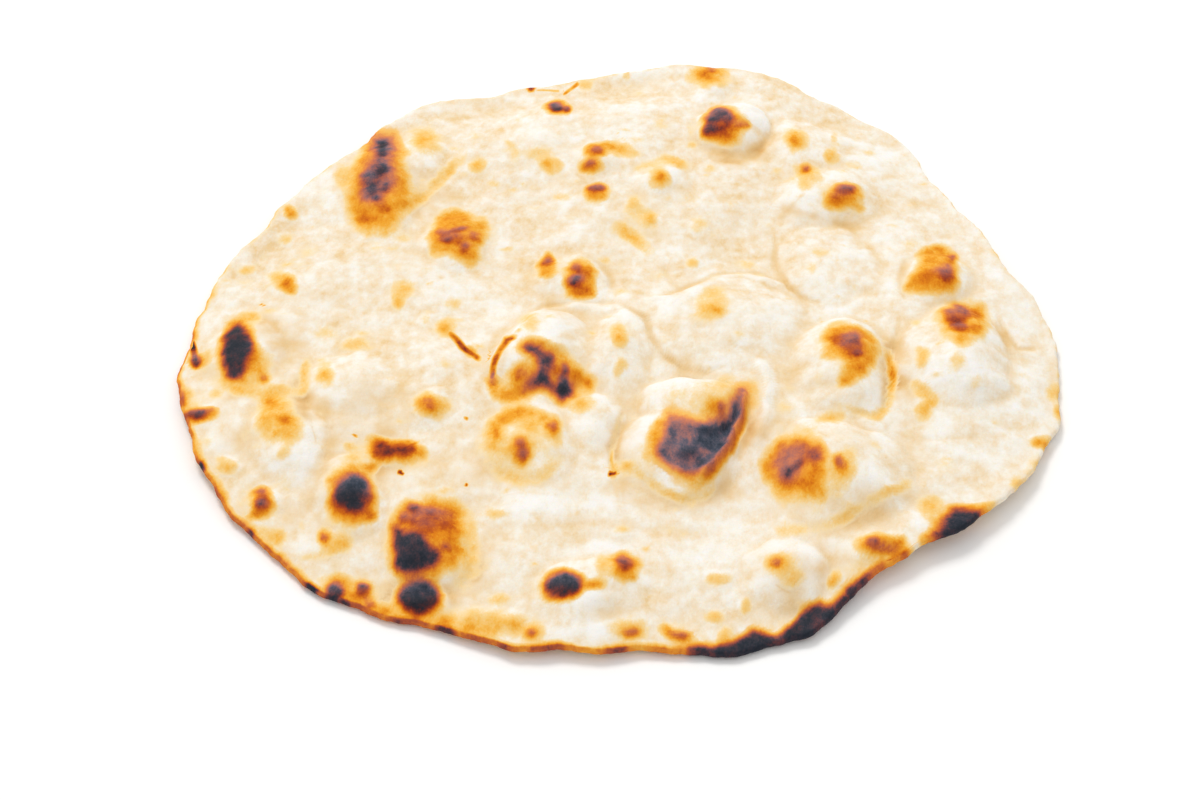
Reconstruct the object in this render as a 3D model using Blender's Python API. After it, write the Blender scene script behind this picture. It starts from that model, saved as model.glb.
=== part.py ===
"""Tandoori roti: one round of flatbread, baked on a clay oven's wall.

The bread is a single thin sheet with an uneven hand-patted edge. The side that
lay on the oven wall is nearly flat and is the one it rests on. The upper side
is puffed into blisters of many sizes, each a smooth dome of its own height.

Lengths below are in millimetres and angles in degrees, anticlockwise from +X.
The bread lies on Z = 0 with its middle on the Z axis and its front towards -Y.
"""

import math

import bmesh
import bpy
import numpy as np

MM = 0.001

# Overall size of the round
WIDTH = 210.0
EDGE_BASE_RADIUS = 100.0

# Where the hand-patted edge runs out or draws in: middle, half width, rise
EDGE_LOBES = (
    (347, 33, 5.8),
    (329, 15, 2.0),
    (25, 25, -3.4),
    (49, 16, 4.6),
    (73, 29, 8.6),
    (110, 14, -2.4),
    (124, 12, 2.0),
    (147, 32, -5.0),
    (193, 31, 6.0),
    (228, 48, 11.2),
    (266, 22, 4.2),
    (288, 17, 6.6),
    (306, 12, -1.8),
)
# Small nicks and waves all round the edge: waves per turn, height, phase
EDGE_RIPPLES = ((17, 0.45, 40), (29, 0.35, 200), (43, 0.25, 115))

# Section of the sheet
RIM_THICKNESS = 1.8
RIM_ROUNDING = 0.85
CRUMB_THICKNESS = 4.6
RIM_TO_CRUMB = 26.0
FOLD_WAVES = ((58.0, 25, 0.45), (41.0, 110, 0.35), (27.0, 160, 0.2))

# Broad puffs under the blisters: x, y, length, width, turn, height
SWELLS = {
    "middle": (2, -22, 74, 58, 0, 2.2),
    "right": (66, -22, 48, 44, 60, 1.6),
    "left": (-58, -42, 44, 40, 0, 1.2),
    "back": (12, 58, 60, 34, 0, 1.4),
}

# Blisters: x, y, half length, half width, turn, height, flank (low is a steep foot)
BLISTERS = {
    "back_tall": (27, 73, 12.5, 10, 80, 4.4, 1.05),
    "back_middle": (47.5, 68, 14, 11.5, 60, 2.2, 1.5),
    "back_low": (50, 44.5, 14, 12.5, 5, 3.0, 1.3),
    "back_centre": (9, 50, 10.5, 9.5, 55, 2.0, 1.4),
    "back_spot": (-8.5, 57.5, 8, 6.5, 90, 1.5, 1.5),
    "back_edge": (22, 92, 7.5, 6.5, 35, 1.2, 1.5),
    "back_left_long": (-62, 43.5, 21, 10, -83, 3.0, 1.3),
    "back_left_side": (-54, 58, 10, 7.5, -85, 1.6, 1.5),
    "left_back": (-42.5, 23, 11, 8.5, -85, 2.2, 1.4),
    "middle_back": (-13.5, 9.5, 11, 10.5, 90, 2.8, 1.3),
    "right_plain": (49, 19, 16, 13, 90, 2.4, 1.15),
    "right_back": (77, 15.5, 11, 9, 70, 3.4, 1.05),
    "right_large": (79, -13, 19, 14, 83, 5.0, 1.1),
    "right_middle": (51.5, -18.5, 17.5, 12, 85, 5.0, 1.15),
    "middle_swell": (24, -4, 20, 16, 25, 2.6, 1.15),
    "front_right_large": (49.5, -53.5, 17.5, 16, 20, 5.8, 1.15),
    "scorched_back": (16.5, -33.5, 13.5, 10.5, -5, 4.8, 1.1),
    "scorched_front": (13.5, -48.5, 15, 14, 70, 5.4, 1.2),
    "torn": (-18.5, -18, 15.5, 13, 85, 4.8, 1.15),
    "middle_puff": (-1.5, -16.5, 15.5, 9, 90, 2.6, 1.2),
    "middle_front": (-22, -47.5, 13.5, 11.5, -85, 3.4, 1.25),
    "middle_small": (-6.5, -40.5, 10.5, 8, 90, 2.4, 1.2),
    "left_edge": (-90, -19, 12.5, 9.5, -80, 2.8, 1.4),
    "left_middle": (-64, -29.5, 12.5, 10.5, -75, 2.2, 1.3),
    "left_inner": (-44, -21.5, 10.5, 9.0, -80, 1.4, 1.5),
    "left_pip": (-44, -37, 7, 6, -80, 1.4, 1.5),
    "left_round": (-76.5, -48, 14.5, 9, -80, 2.8, 1.2),
    "left_bar": (-51, -51.5, 8, 5.5, 5, 1.5, 1.5),
    "left_front": (-60, -64.5, 13, 8.5, -85, 3.4, 1.3),
    "left_low": (-79, -68.5, 6.5, 5, -80, 1.1, 1.5),
    "front_left_large": (-41.5, -79.5, 13, 10, -85, 4.0, 1.25),
    "front_left_button": (-42.5, -95.5, 7, 6, 10, 2.2, 1.2),
    "front_middle": (-6.5, -89, 13.5, 10, 5, 3.2, 1.25),
    "front_right_round": (36.5, -82.5, 11, 9.5, 75, 3.6, 1.2),
    "front_right_bar": (57.5, -76, 7.5, 5.5, 15, 1.6, 1.5),
    "front_edge_left": (-27, -99.5, 10, 5, 0, 1.1, 1.5),
}
BLISTER_LEAN = 0.22
BLISTER_MERGE = 3.0
BLISTER_TO_RIM = 7.0

# Where the cooled rim curls off the table: middle, half width, reach, lift
RIM_CURLS = (
    (318, 34, 26, 3.2),
    (20, 30, 22, 2.2),
    (75, 22, 18, 1.6),
    (148, 36, 24, 2.6),
    (205, 22, 18, 1.5),
    (262, 20, 16, 1.2),
)

# Mesh: strips across the upper side, and half as many across the underside
TOP_STRIPS = 60
UNDER_STRIPS = TOP_STRIPS // 2

CRUST_COLOUR = (0.86, 0.76, 0.58)
CRUST_ROUGHNESS = 0.82


def hump(angle, middle, half_width):
    """1 at the middle angle, falling smoothly to 0 at half_width on each side."""
    away = np.abs((angle - middle + 180.0) % 360.0 - 180.0) / half_width
    return np.cos(0.5 * np.pi * np.minimum(away, 1.0)) ** 2


def ease(amount):
    """0 to 1 along an S-shaped curve."""
    amount = np.clip(amount, 0.0, 1.0)
    return amount * amount * (3.0 - 2.0 * amount)


def free_edge(angle):
    """Edge radius before the round is centred and brought to its width."""
    radius = np.full_like(angle, EDGE_BASE_RADIUS)
    for middle, half_width, rise in EDGE_LOBES:
        radius = radius + rise * hump(angle, middle, half_width)
    for count, height, phase in EDGE_RIPPLES:
        radius = radius + height * np.sin(np.radians(count * angle + phase))
    return radius


def edge_fit():
    """The centre and scale that give the round its width about the Z axis."""
    angle = np.arange(0.0, 360.0, 0.25)
    radius = free_edge(angle)
    x = radius * np.cos(np.radians(angle))
    y = radius * np.sin(np.radians(angle))
    scale = WIDTH / (x.max() - x.min())
    return 0.5 * (x.max() + x.min()), 0.5 * (y.max() + y.min()), scale


CENTRE_X, CENTRE_Y, EDGE_SCALE = edge_fit()


def round_point(u, v, inset):
    """A point of the square -1..1 laid on the round: x, y, angle, gap to the rim."""
    wide = np.abs(u) > np.abs(v)
    share = np.where(wide, u, v)
    safe = np.where(share == 0.0, 1.0, share)
    turn = np.where(wide, (np.pi / 4) * v / safe, np.pi / 2 - (np.pi / 4) * u / safe)
    turn = np.where(share < 0.0, turn + np.pi, turn)
    angle = np.degrees(turn) % 360.0
    reach = np.abs(share)
    edge = free_edge(angle) * EDGE_SCALE
    radius = reach * (edge - inset)
    x = radius * np.cos(np.radians(angle)) - CENTRE_X * EDGE_SCALE
    y = radius * np.sin(np.radians(angle)) - CENTRE_Y * EDGE_SCALE
    return x, y, angle, edge - radius


def oval(x, y, middle_x, middle_y, length, width, turn):
    """1 at the middle of an oval, 0 at its foot and outside."""
    c, s = math.cos(math.radians(turn)), math.sin(math.radians(turn))
    along = ((x - middle_x) * c + (y - middle_y) * s) / length
    across = ((y - middle_y) * c - (x - middle_x) * s) / width
    return np.clip(1.0 - along**2 - across**2, 0.0, 1.0)


def swell(x, y, place):
    """Height of one broad, soft rise."""
    return place[5] * oval(x, y, *place[:5]) ** 2


def blister(x, y, place):
    """Height of one blister. Its far side is steeper than its near side."""
    lean = BLISTER_LEAN * np.clip((y - place[1]) / place[3], -1.0, 1.0)
    flank = np.maximum(place[6] - lean, 0.9)
    return place[5] * oval(x, y, *place[:5]) ** flank


def under_height(angle, gap):
    """Height of the underside: flat, but for the curled stretches of rim."""
    lift = np.zeros_like(gap)
    for middle, half_width, reach, height in RIM_CURLS:
        curl = height * hump(angle, middle, half_width) * ease(1.0 - gap / reach)
        lift = np.maximum(lift, curl)
    return lift


def top_height(x, y, angle, gap):
    """Height of the blistered upper side."""
    body = RIM_THICKNESS + (CRUMB_THICKNESS - RIM_THICKNESS) * ease(gap / RIM_TO_CRUMB)
    inner = ease(gap / BLISTER_TO_RIM)
    for length, bearing, height in FOLD_WAVES:
        along = x * math.cos(math.radians(bearing)) + y * math.sin(math.radians(bearing))
        body = body + height * inner * np.sin(2 * np.pi * along / length + bearing)
    for place in SWELLS.values():
        body = body + swell(x, y, place) * inner
    raised = np.zeros_like(x)
    for place in BLISTERS.values():
        raised = raised + blister(x, y, place) ** BLISTER_MERGE
    blisters = raised ** (1.0 / BLISTER_MERGE)
    return under_height(angle, gap) + body + blisters * inner


def add_layer(model, strips, inset, height_of):
    """A square grid of strips laid on the round. Returns its edge loop in order."""
    made = bmesh.ops.create_grid(
        model, x_segments=strips, y_segments=strips, size=1.0
    )
    verts = made["verts"]
    flat = np.array([v.co[:2] for v in verts])
    x, y, angle, gap = round_point(flat[:, 0], flat[:, 1], inset)
    z = height_of(x, y, angle, gap)
    on_edge = np.abs(flat).max(axis=1) > 1.0 - 1e-6
    for vert, px, py, pz in zip(verts, x, y, z):
        vert.co = (px * MM, py * MM, pz * MM)
    ring = [(a, v) for a, v, edge in zip(angle, verts, on_edge) if edge]
    ring.sort(key=lambda pair: pair[0])
    faces = {face for vert in verts for face in vert.link_faces}
    return [v for _, v in ring], list(faces)


def add_rim(model, top_ring, under_ring):
    """The rounded rim: a ring at mid thickness, joined to both sides."""
    count = len(top_ring)
    angle = np.arange(count) * 360.0 / count
    middle = []
    for index, vert in enumerate(top_ring):
        below = under_ring[index // 2].co
        after = under_ring[((index + 1) // 2) % len(under_ring)].co
        edge = float(free_edge(angle[index : index + 1])[0]) * EDGE_SCALE
        x = edge * math.cos(math.radians(angle[index])) - CENTRE_X * EDGE_SCALE
        y = edge * math.sin(math.radians(angle[index])) - CENTRE_Y * EDGE_SCALE
        z = 0.5 * vert.co.z + 0.25 * (below.z + after.z)
        middle.append(model.verts.new((x * MM, y * MM, z)))
    for index in range(count):
        after = (index + 1) % count
        model.faces.new(
            (top_ring[index], middle[index], middle[after], top_ring[after])
        )
    for index in range(0, count, 2):
        low, high = under_ring[index // 2], under_ring[(index // 2 + 1) % (count // 2)]
        first, between, last = (
            middle[index],
            middle[index + 1],
            middle[(index + 2) % count],
        )
        model.faces.new((low, between, first))
        model.faces.new((low, high, between))
        model.faces.new((high, last, between))


def build_roti():
    model = bmesh.new()
    top_ring, _ = add_layer(model, TOP_STRIPS, RIM_ROUNDING, top_height)
    under_ring, under_faces = add_layer(
        model,
        UNDER_STRIPS,
        RIM_ROUNDING,
        lambda x, y, angle, gap: under_height(angle, gap),
    )
    bmesh.ops.reverse_faces(model, faces=under_faces)
    add_rim(model, top_ring, under_ring)
    bmesh.ops.recalc_face_normals(model, faces=model.faces)
    bmesh.ops.triangulate(model, faces=model.faces)

    mesh = bpy.data.meshes.new("roti")
    model.to_mesh(mesh)
    model.free()
    for face in mesh.polygons:
        face.use_smooth = True

    crust = bpy.data.materials.new("baked_crust")
    crust.use_nodes = True
    shader = crust.node_tree.nodes["Principled BSDF"]
    shader.inputs["Base Color"].default_value = (*CRUST_COLOUR, 1.0)
    shader.inputs["Roughness"].default_value = CRUST_ROUGHNESS
    shader.inputs["Metallic"].default_value = 0.0
    mesh.materials.append(crust)

    roti = bpy.data.objects.new("roti", mesh)
    bpy.context.scene.collection.objects.link(roti)
    return roti


for old in list(bpy.data.objects):
    bpy.data.objects.remove(old, do_unlink=True)
build_roti()
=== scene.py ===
"""The looks of the tandoori roti: a finely modelled crust with its scorch marks,
a plain pale floor, soft light and the camera."""

import math

import bpy
import numpy as np
from mathutils import Matrix, Vector


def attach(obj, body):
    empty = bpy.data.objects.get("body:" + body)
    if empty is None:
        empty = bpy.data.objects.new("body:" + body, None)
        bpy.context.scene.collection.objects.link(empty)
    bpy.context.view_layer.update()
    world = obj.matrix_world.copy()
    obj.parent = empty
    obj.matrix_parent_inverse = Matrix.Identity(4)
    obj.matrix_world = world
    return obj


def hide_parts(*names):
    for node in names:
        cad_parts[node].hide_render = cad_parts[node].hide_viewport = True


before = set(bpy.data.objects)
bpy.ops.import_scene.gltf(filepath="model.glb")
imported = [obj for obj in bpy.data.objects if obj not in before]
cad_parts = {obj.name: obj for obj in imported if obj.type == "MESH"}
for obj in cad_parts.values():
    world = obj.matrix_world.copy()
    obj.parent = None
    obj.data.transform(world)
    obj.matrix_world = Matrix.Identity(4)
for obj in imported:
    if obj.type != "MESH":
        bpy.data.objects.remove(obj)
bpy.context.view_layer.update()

MM = 0.001

# ----------------------------------------------------------------------------
# The camera. Marks are placed by pixel in its 1200 x 800 frame.
# ----------------------------------------------------------------------------
LENS, SENSOR = 70.0, 36.0
FRAME_W, FRAME_H = 1200.0, 800.0
FOCAL = LENS / SENSOR * FRAME_W
ELEVATION, ROLL = math.radians(44.0), math.radians(2.0)
DISTANCE = 543.9
TARGET = np.array((-5.19, -30.31, 4.0))

BACK = np.array((0.0, -math.cos(ELEVATION), math.sin(ELEVATION)))
RIGHT = np.array((1.0, 0.0, 0.0))
UP = np.cross(BACK, RIGHT)
CAM_X = RIGHT * math.cos(ROLL) + UP * math.sin(ROLL)
CAM_Y = -RIGHT * math.sin(ROLL) + UP * math.cos(ROLL)
EYE = TARGET + BACK * DISTANCE


def pixel_of(x, y, z):
    """Where a point, in mm, lies in the 1200 x 800 frame."""
    away = np.stack([x - EYE[0], y - EYE[1], z - EYE[2]])
    right, up, back = (np.tensordot(axis, away, 1) for axis in (CAM_X, CAM_Y, BACK))
    return FRAME_W / 2 - FOCAL * right / back, FRAME_H / 2 + FOCAL * up / back


# ----------------------------------------------------------------------------
# Smooth helpers
# ----------------------------------------------------------------------------
def ease(amount):
    amount = np.clip(amount, 0.0, 1.0)
    return amount * amount * (3.0 - 2.0 * amount)


def hump(angle, middle, half_width):
    away = np.abs((angle - middle + 180.0) % 360.0 - 180.0) / half_width
    return np.cos(0.5 * np.pi * np.minimum(away, 1.0)) ** 2


def noise(x, y, size, seed):
    """Smooth noise of about -1 to 1 with features of this size."""
    u, v = x / size + 71.3, y / size + 39.7
    iu, iv = np.floor(u).astype(np.int64), np.floor(v).astype(np.int64)
    fu, fv = u - iu, v - iv
    su = fu**3 * (fu * (fu * 6 - 15) + 10)
    sv = fv**3 * (fv * (fv * 6 - 15) + 10)

    def corner(du, dv):
        h = ((iu + du) * 374761393 + (iv + dv) * 668265263 + seed * 974634777) & 0xFFFFFFFF
        h = ((h ^ (h >> 13)) * 1274126177) & 0xFFFFFFFF
        turn = ((h ^ (h >> 16)) & 0xFFFF) * (2 * math.pi / 65536)
        return np.cos(turn) * (fu - du) + np.sin(turn) * (fv - dv)

    low = corner(0, 0) * (1 - su) + corner(1, 0) * su
    high = corner(0, 1) * (1 - su) + corner(1, 1) * su
    return 1.5 * (low * (1 - sv) + high * sv)


def rough_noise(x, y, size, seed, octaves=3):
    total = np.zeros_like(x)
    for octave in range(octaves):
        total += noise(x, y, size / 2**octave, seed + 13 * octave) / 2**octave
    return total


# ----------------------------------------------------------------------------
# The round: the same edge, body and blisters as the CAD part
# ----------------------------------------------------------------------------
WIDTH = 210.0
EDGE_BASE_RADIUS = 100.0
EDGE_LOBES = (
    (347, 33, 5.8),
    (329, 15, 2.0),
    (25, 25, -3.4),
    (49, 16, 4.6),
    (73, 29, 8.6),
    (110, 14, -2.4),
    (124, 12, 2.0),
    (147, 32, -5.0),
    (193, 31, 6.0),
    (228, 48, 11.2),
    (266, 22, 4.2),
    (288, 17, 6.6),
    (306, 12, -1.8),
)
EDGE_RIPPLES = ((17, 0.45, 40), (29, 0.35, 200), (43, 0.25, 115))
RIM_THICKNESS = 1.8
RIM_ROUNDING = 0.85
CRUMB_THICKNESS = 4.6
RIM_TO_CRUMB = 26.0
FOLD_WAVES = ((58.0, 25, 0.45), (41.0, 110, 0.35), (27.0, 160, 0.2))
SWELLS = (
    (2, -22, 74, 58, 0, 2.2),
    (66, -22, 48, 44, 60, 1.6),
    (-58, -42, 44, 40, 0, 1.2),
    (12, 58, 60, 34, 0, 1.4),
)
RIM_CURLS = (
    (318, 34, 26, 3.2),
    (20, 30, 22, 2.2),
    (75, 22, 18, 1.6),
    (148, 36, 24, 2.6),
    (205, 22, 18, 1.5),
    (262, 20, 16, 1.2),
)
# x, y, half length, half width, turn, height, flank: a low flank is a steep foot
BLISTERS = (
    (27, 73, 12.5, 10, 80, 4.4, 1.05),
    (47.5, 68, 14, 11.5, 60, 2.2, 1.5),
    (50, 44.5, 14, 12.5, 5, 3.0, 1.3),
    (9, 50, 10.5, 9.5, 55, 2.0, 1.4),
    (-8.5, 57.5, 8, 6.5, 90, 1.5, 1.5),
    (22, 92, 7.5, 6.5, 35, 1.2, 1.5),
    (-62, 43.5, 21, 10, -83, 3.0, 1.3),
    (-54, 58, 10, 7.5, -85, 1.6, 1.5),
    (-42.5, 23, 11, 8.5, -85, 2.2, 1.4),
    (-13.5, 9.5, 11, 10.5, 90, 2.8, 1.3),
    (49, 19, 16, 13, 90, 2.4, 1.15),
    (77, 15.5, 11, 9, 70, 3.4, 1.05),
    (79, -13, 19, 14, 83, 5.0, 1.1),
    (51.5, -18.5, 17.5, 12, 85, 5.0, 1.15),
    (24, -4, 20, 16, 25, 2.6, 1.15),
    (49.5, -53.5, 17.5, 16, 20, 5.8, 1.15),
    (16.5, -33.5, 13.5, 10.5, -5, 4.8, 1.1),
    (13.5, -48.5, 15, 14, 70, 5.4, 1.2),
    (-18.5, -18, 15.5, 13, 85, 4.8, 1.15),
    (-1.5, -16.5, 15.5, 9, 90, 2.6, 1.2),
    (-22, -47.5, 13.5, 11.5, -85, 3.4, 1.25),
    (-6.5, -40.5, 10.5, 8, 90, 2.4, 1.2),
    (-90, -19, 12.5, 9.5, -80, 2.8, 1.4),
    (-64, -29.5, 12.5, 10.5, -75, 2.2, 1.3),
    (-44, -21.5, 10.5, 9.0, -80, 1.4, 1.5),
    (-44, -37, 7, 6, -80, 1.4, 1.5),
    (-76.5, -48, 14.5, 9, -80, 2.8, 1.2),
    (-51, -51.5, 8, 5.5, 5, 1.5, 1.5),
    (-60, -64.5, 13, 8.5, -85, 3.4, 1.3),
    (-79, -68.5, 6.5, 5, -80, 1.1, 1.5),
    (-41.5, -79.5, 13, 10, -85, 4.0, 1.25),
    (-42.5, -95.5, 7, 6, 10, 2.2, 1.2),
    (-6.5, -89, 13.5, 10, 5, 3.2, 1.25),
    (36.5, -82.5, 11, 9.5, 75, 3.6, 1.2),
    (57.5, -76, 7.5, 5.5, 15, 1.6, 1.5),
    (-27, -99.5, 10, 5, 0, 1.1, 1.5),
)
BLISTER_MERGE = 3.0
BLISTER_TO_RIM = 7.0


def free_edge(angle):
    radius = np.full_like(angle, EDGE_BASE_RADIUS)
    for middle, half_width, rise in EDGE_LOBES:
        radius = radius + rise * hump(angle, middle, half_width)
    for count, height, phase in EDGE_RIPPLES:
        radius = radius + height * np.sin(np.radians(count * angle + phase))
    return radius


def edge_fit():
    angle = np.arange(0.0, 360.0, 0.25)
    radius = free_edge(angle)
    x = radius * np.cos(np.radians(angle))
    y = radius * np.sin(np.radians(angle))
    scale = WIDTH / (x.max() - x.min())
    return 0.5 * (x.max() + x.min()), 0.5 * (y.max() + y.min()), scale


CENTRE_X, CENTRE_Y, EDGE_SCALE = edge_fit()


def fine_edge(angle):
    """The edge with the small nicks that are too fine for the CAD part."""
    turn = np.radians(angle)
    ring_x, ring_y = 100 * np.cos(turn), 100 * np.sin(turn)
    nicks = 0.28 * noise(ring_x, ring_y, 3.2, 5) + 0.16 * noise(ring_x, ring_y, 1.4, 6)
    return free_edge(angle) * EDGE_SCALE + nicks - 0.15


def spot(angle, radius):
    x = radius * np.cos(np.radians(angle)) - CENTRE_X * EDGE_SCALE
    y = radius * np.sin(np.radians(angle)) - CENTRE_Y * EDGE_SCALE
    return x, y


def round_grid(strips, inset):
    """A square grid laid on the round: x, y, angle, gap to the rim."""
    line = np.linspace(-1.0, 1.0, strips + 1)
    u, v = (c.ravel() for c in np.meshgrid(line, line))
    wide = np.abs(u) > np.abs(v)
    share = np.where(wide, u, v)
    safe = np.where(share == 0.0, 1.0, share)
    turn = np.where(wide, (np.pi / 4) * v / safe, np.pi / 2 - (np.pi / 4) * u / safe)
    turn = np.where(share < 0.0, turn + np.pi, turn)
    angle = np.degrees(turn) % 360.0
    edge = fine_edge(angle)
    radius = np.abs(share) * (edge - inset)
    x, y = spot(angle, radius)
    return x, y, angle, edge - radius


def dome(x, y, place, flank):
    middle_x, middle_y, length, width, turn, height = place
    c, s = math.cos(math.radians(turn)), math.sin(math.radians(turn))
    along = ((x - middle_x) * c + (y - middle_y) * s) / length
    across = ((y - middle_y) * c - (x - middle_x) * s) / width
    return height * np.clip(1.0 - along**2 - across**2, 0.0, 1.0) ** flank


def under_height(angle, gap):
    lift = np.zeros_like(gap)
    for middle, half_width, reach, height in RIM_CURLS:
        curl = height * hump(angle, middle, half_width) * ease(1.0 - gap / reach)
        lift = np.maximum(lift, curl)
    return lift


def puff(x, y, place, flank):
    """One blister. Its far side stands up more steeply than its near side."""
    middle_x, middle_y, length, width, turn, height = place
    c, s = math.cos(math.radians(turn)), math.sin(math.radians(turn))
    along = ((x - middle_x) * c + (y - middle_y) * s) / length
    across = ((y - middle_y) * c - (x - middle_x) * s) / width
    lean = flank - 0.22 * np.clip((y - middle_y) / width, -1.0, 1.0)
    return height * np.clip(1.0 - along**2 - across**2, 0.0, 1.0) ** np.maximum(lean, 0.9)


def blister_height(x, y):
    # A pull to and fro keeps the blisters from being true ovals.
    wx = x + 2.2 * noise(x, y, 18.0, 21) + 0.9 * noise(x, y, 7.0, 22)
    wy = y + 2.2 * noise(x, y, 18.0, 23) + 0.9 * noise(x, y, 7.0, 24)
    raised = np.zeros_like(x)
    for *place, flank in BLISTERS:
        raised = raised + puff(wx, wy, place, flank) ** BLISTER_MERGE
    return raised ** (1.0 / BLISTER_MERGE)


def body_height(x, y, angle, gap):
    body = RIM_THICKNESS + (CRUMB_THICKNESS - RIM_THICKNESS) * ease(gap / RIM_TO_CRUMB)
    inner = ease(gap / BLISTER_TO_RIM)
    for length, bearing, height in FOLD_WAVES:
        along = x * math.cos(math.radians(bearing)) + y * math.sin(math.radians(bearing))
        body = body + height * inner * np.sin(2 * np.pi * along / length + bearing)
    for place in SWELLS:
        body = body + dome(x, y, place, 2.0) * inner
    return under_height(angle, gap) + body


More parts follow.
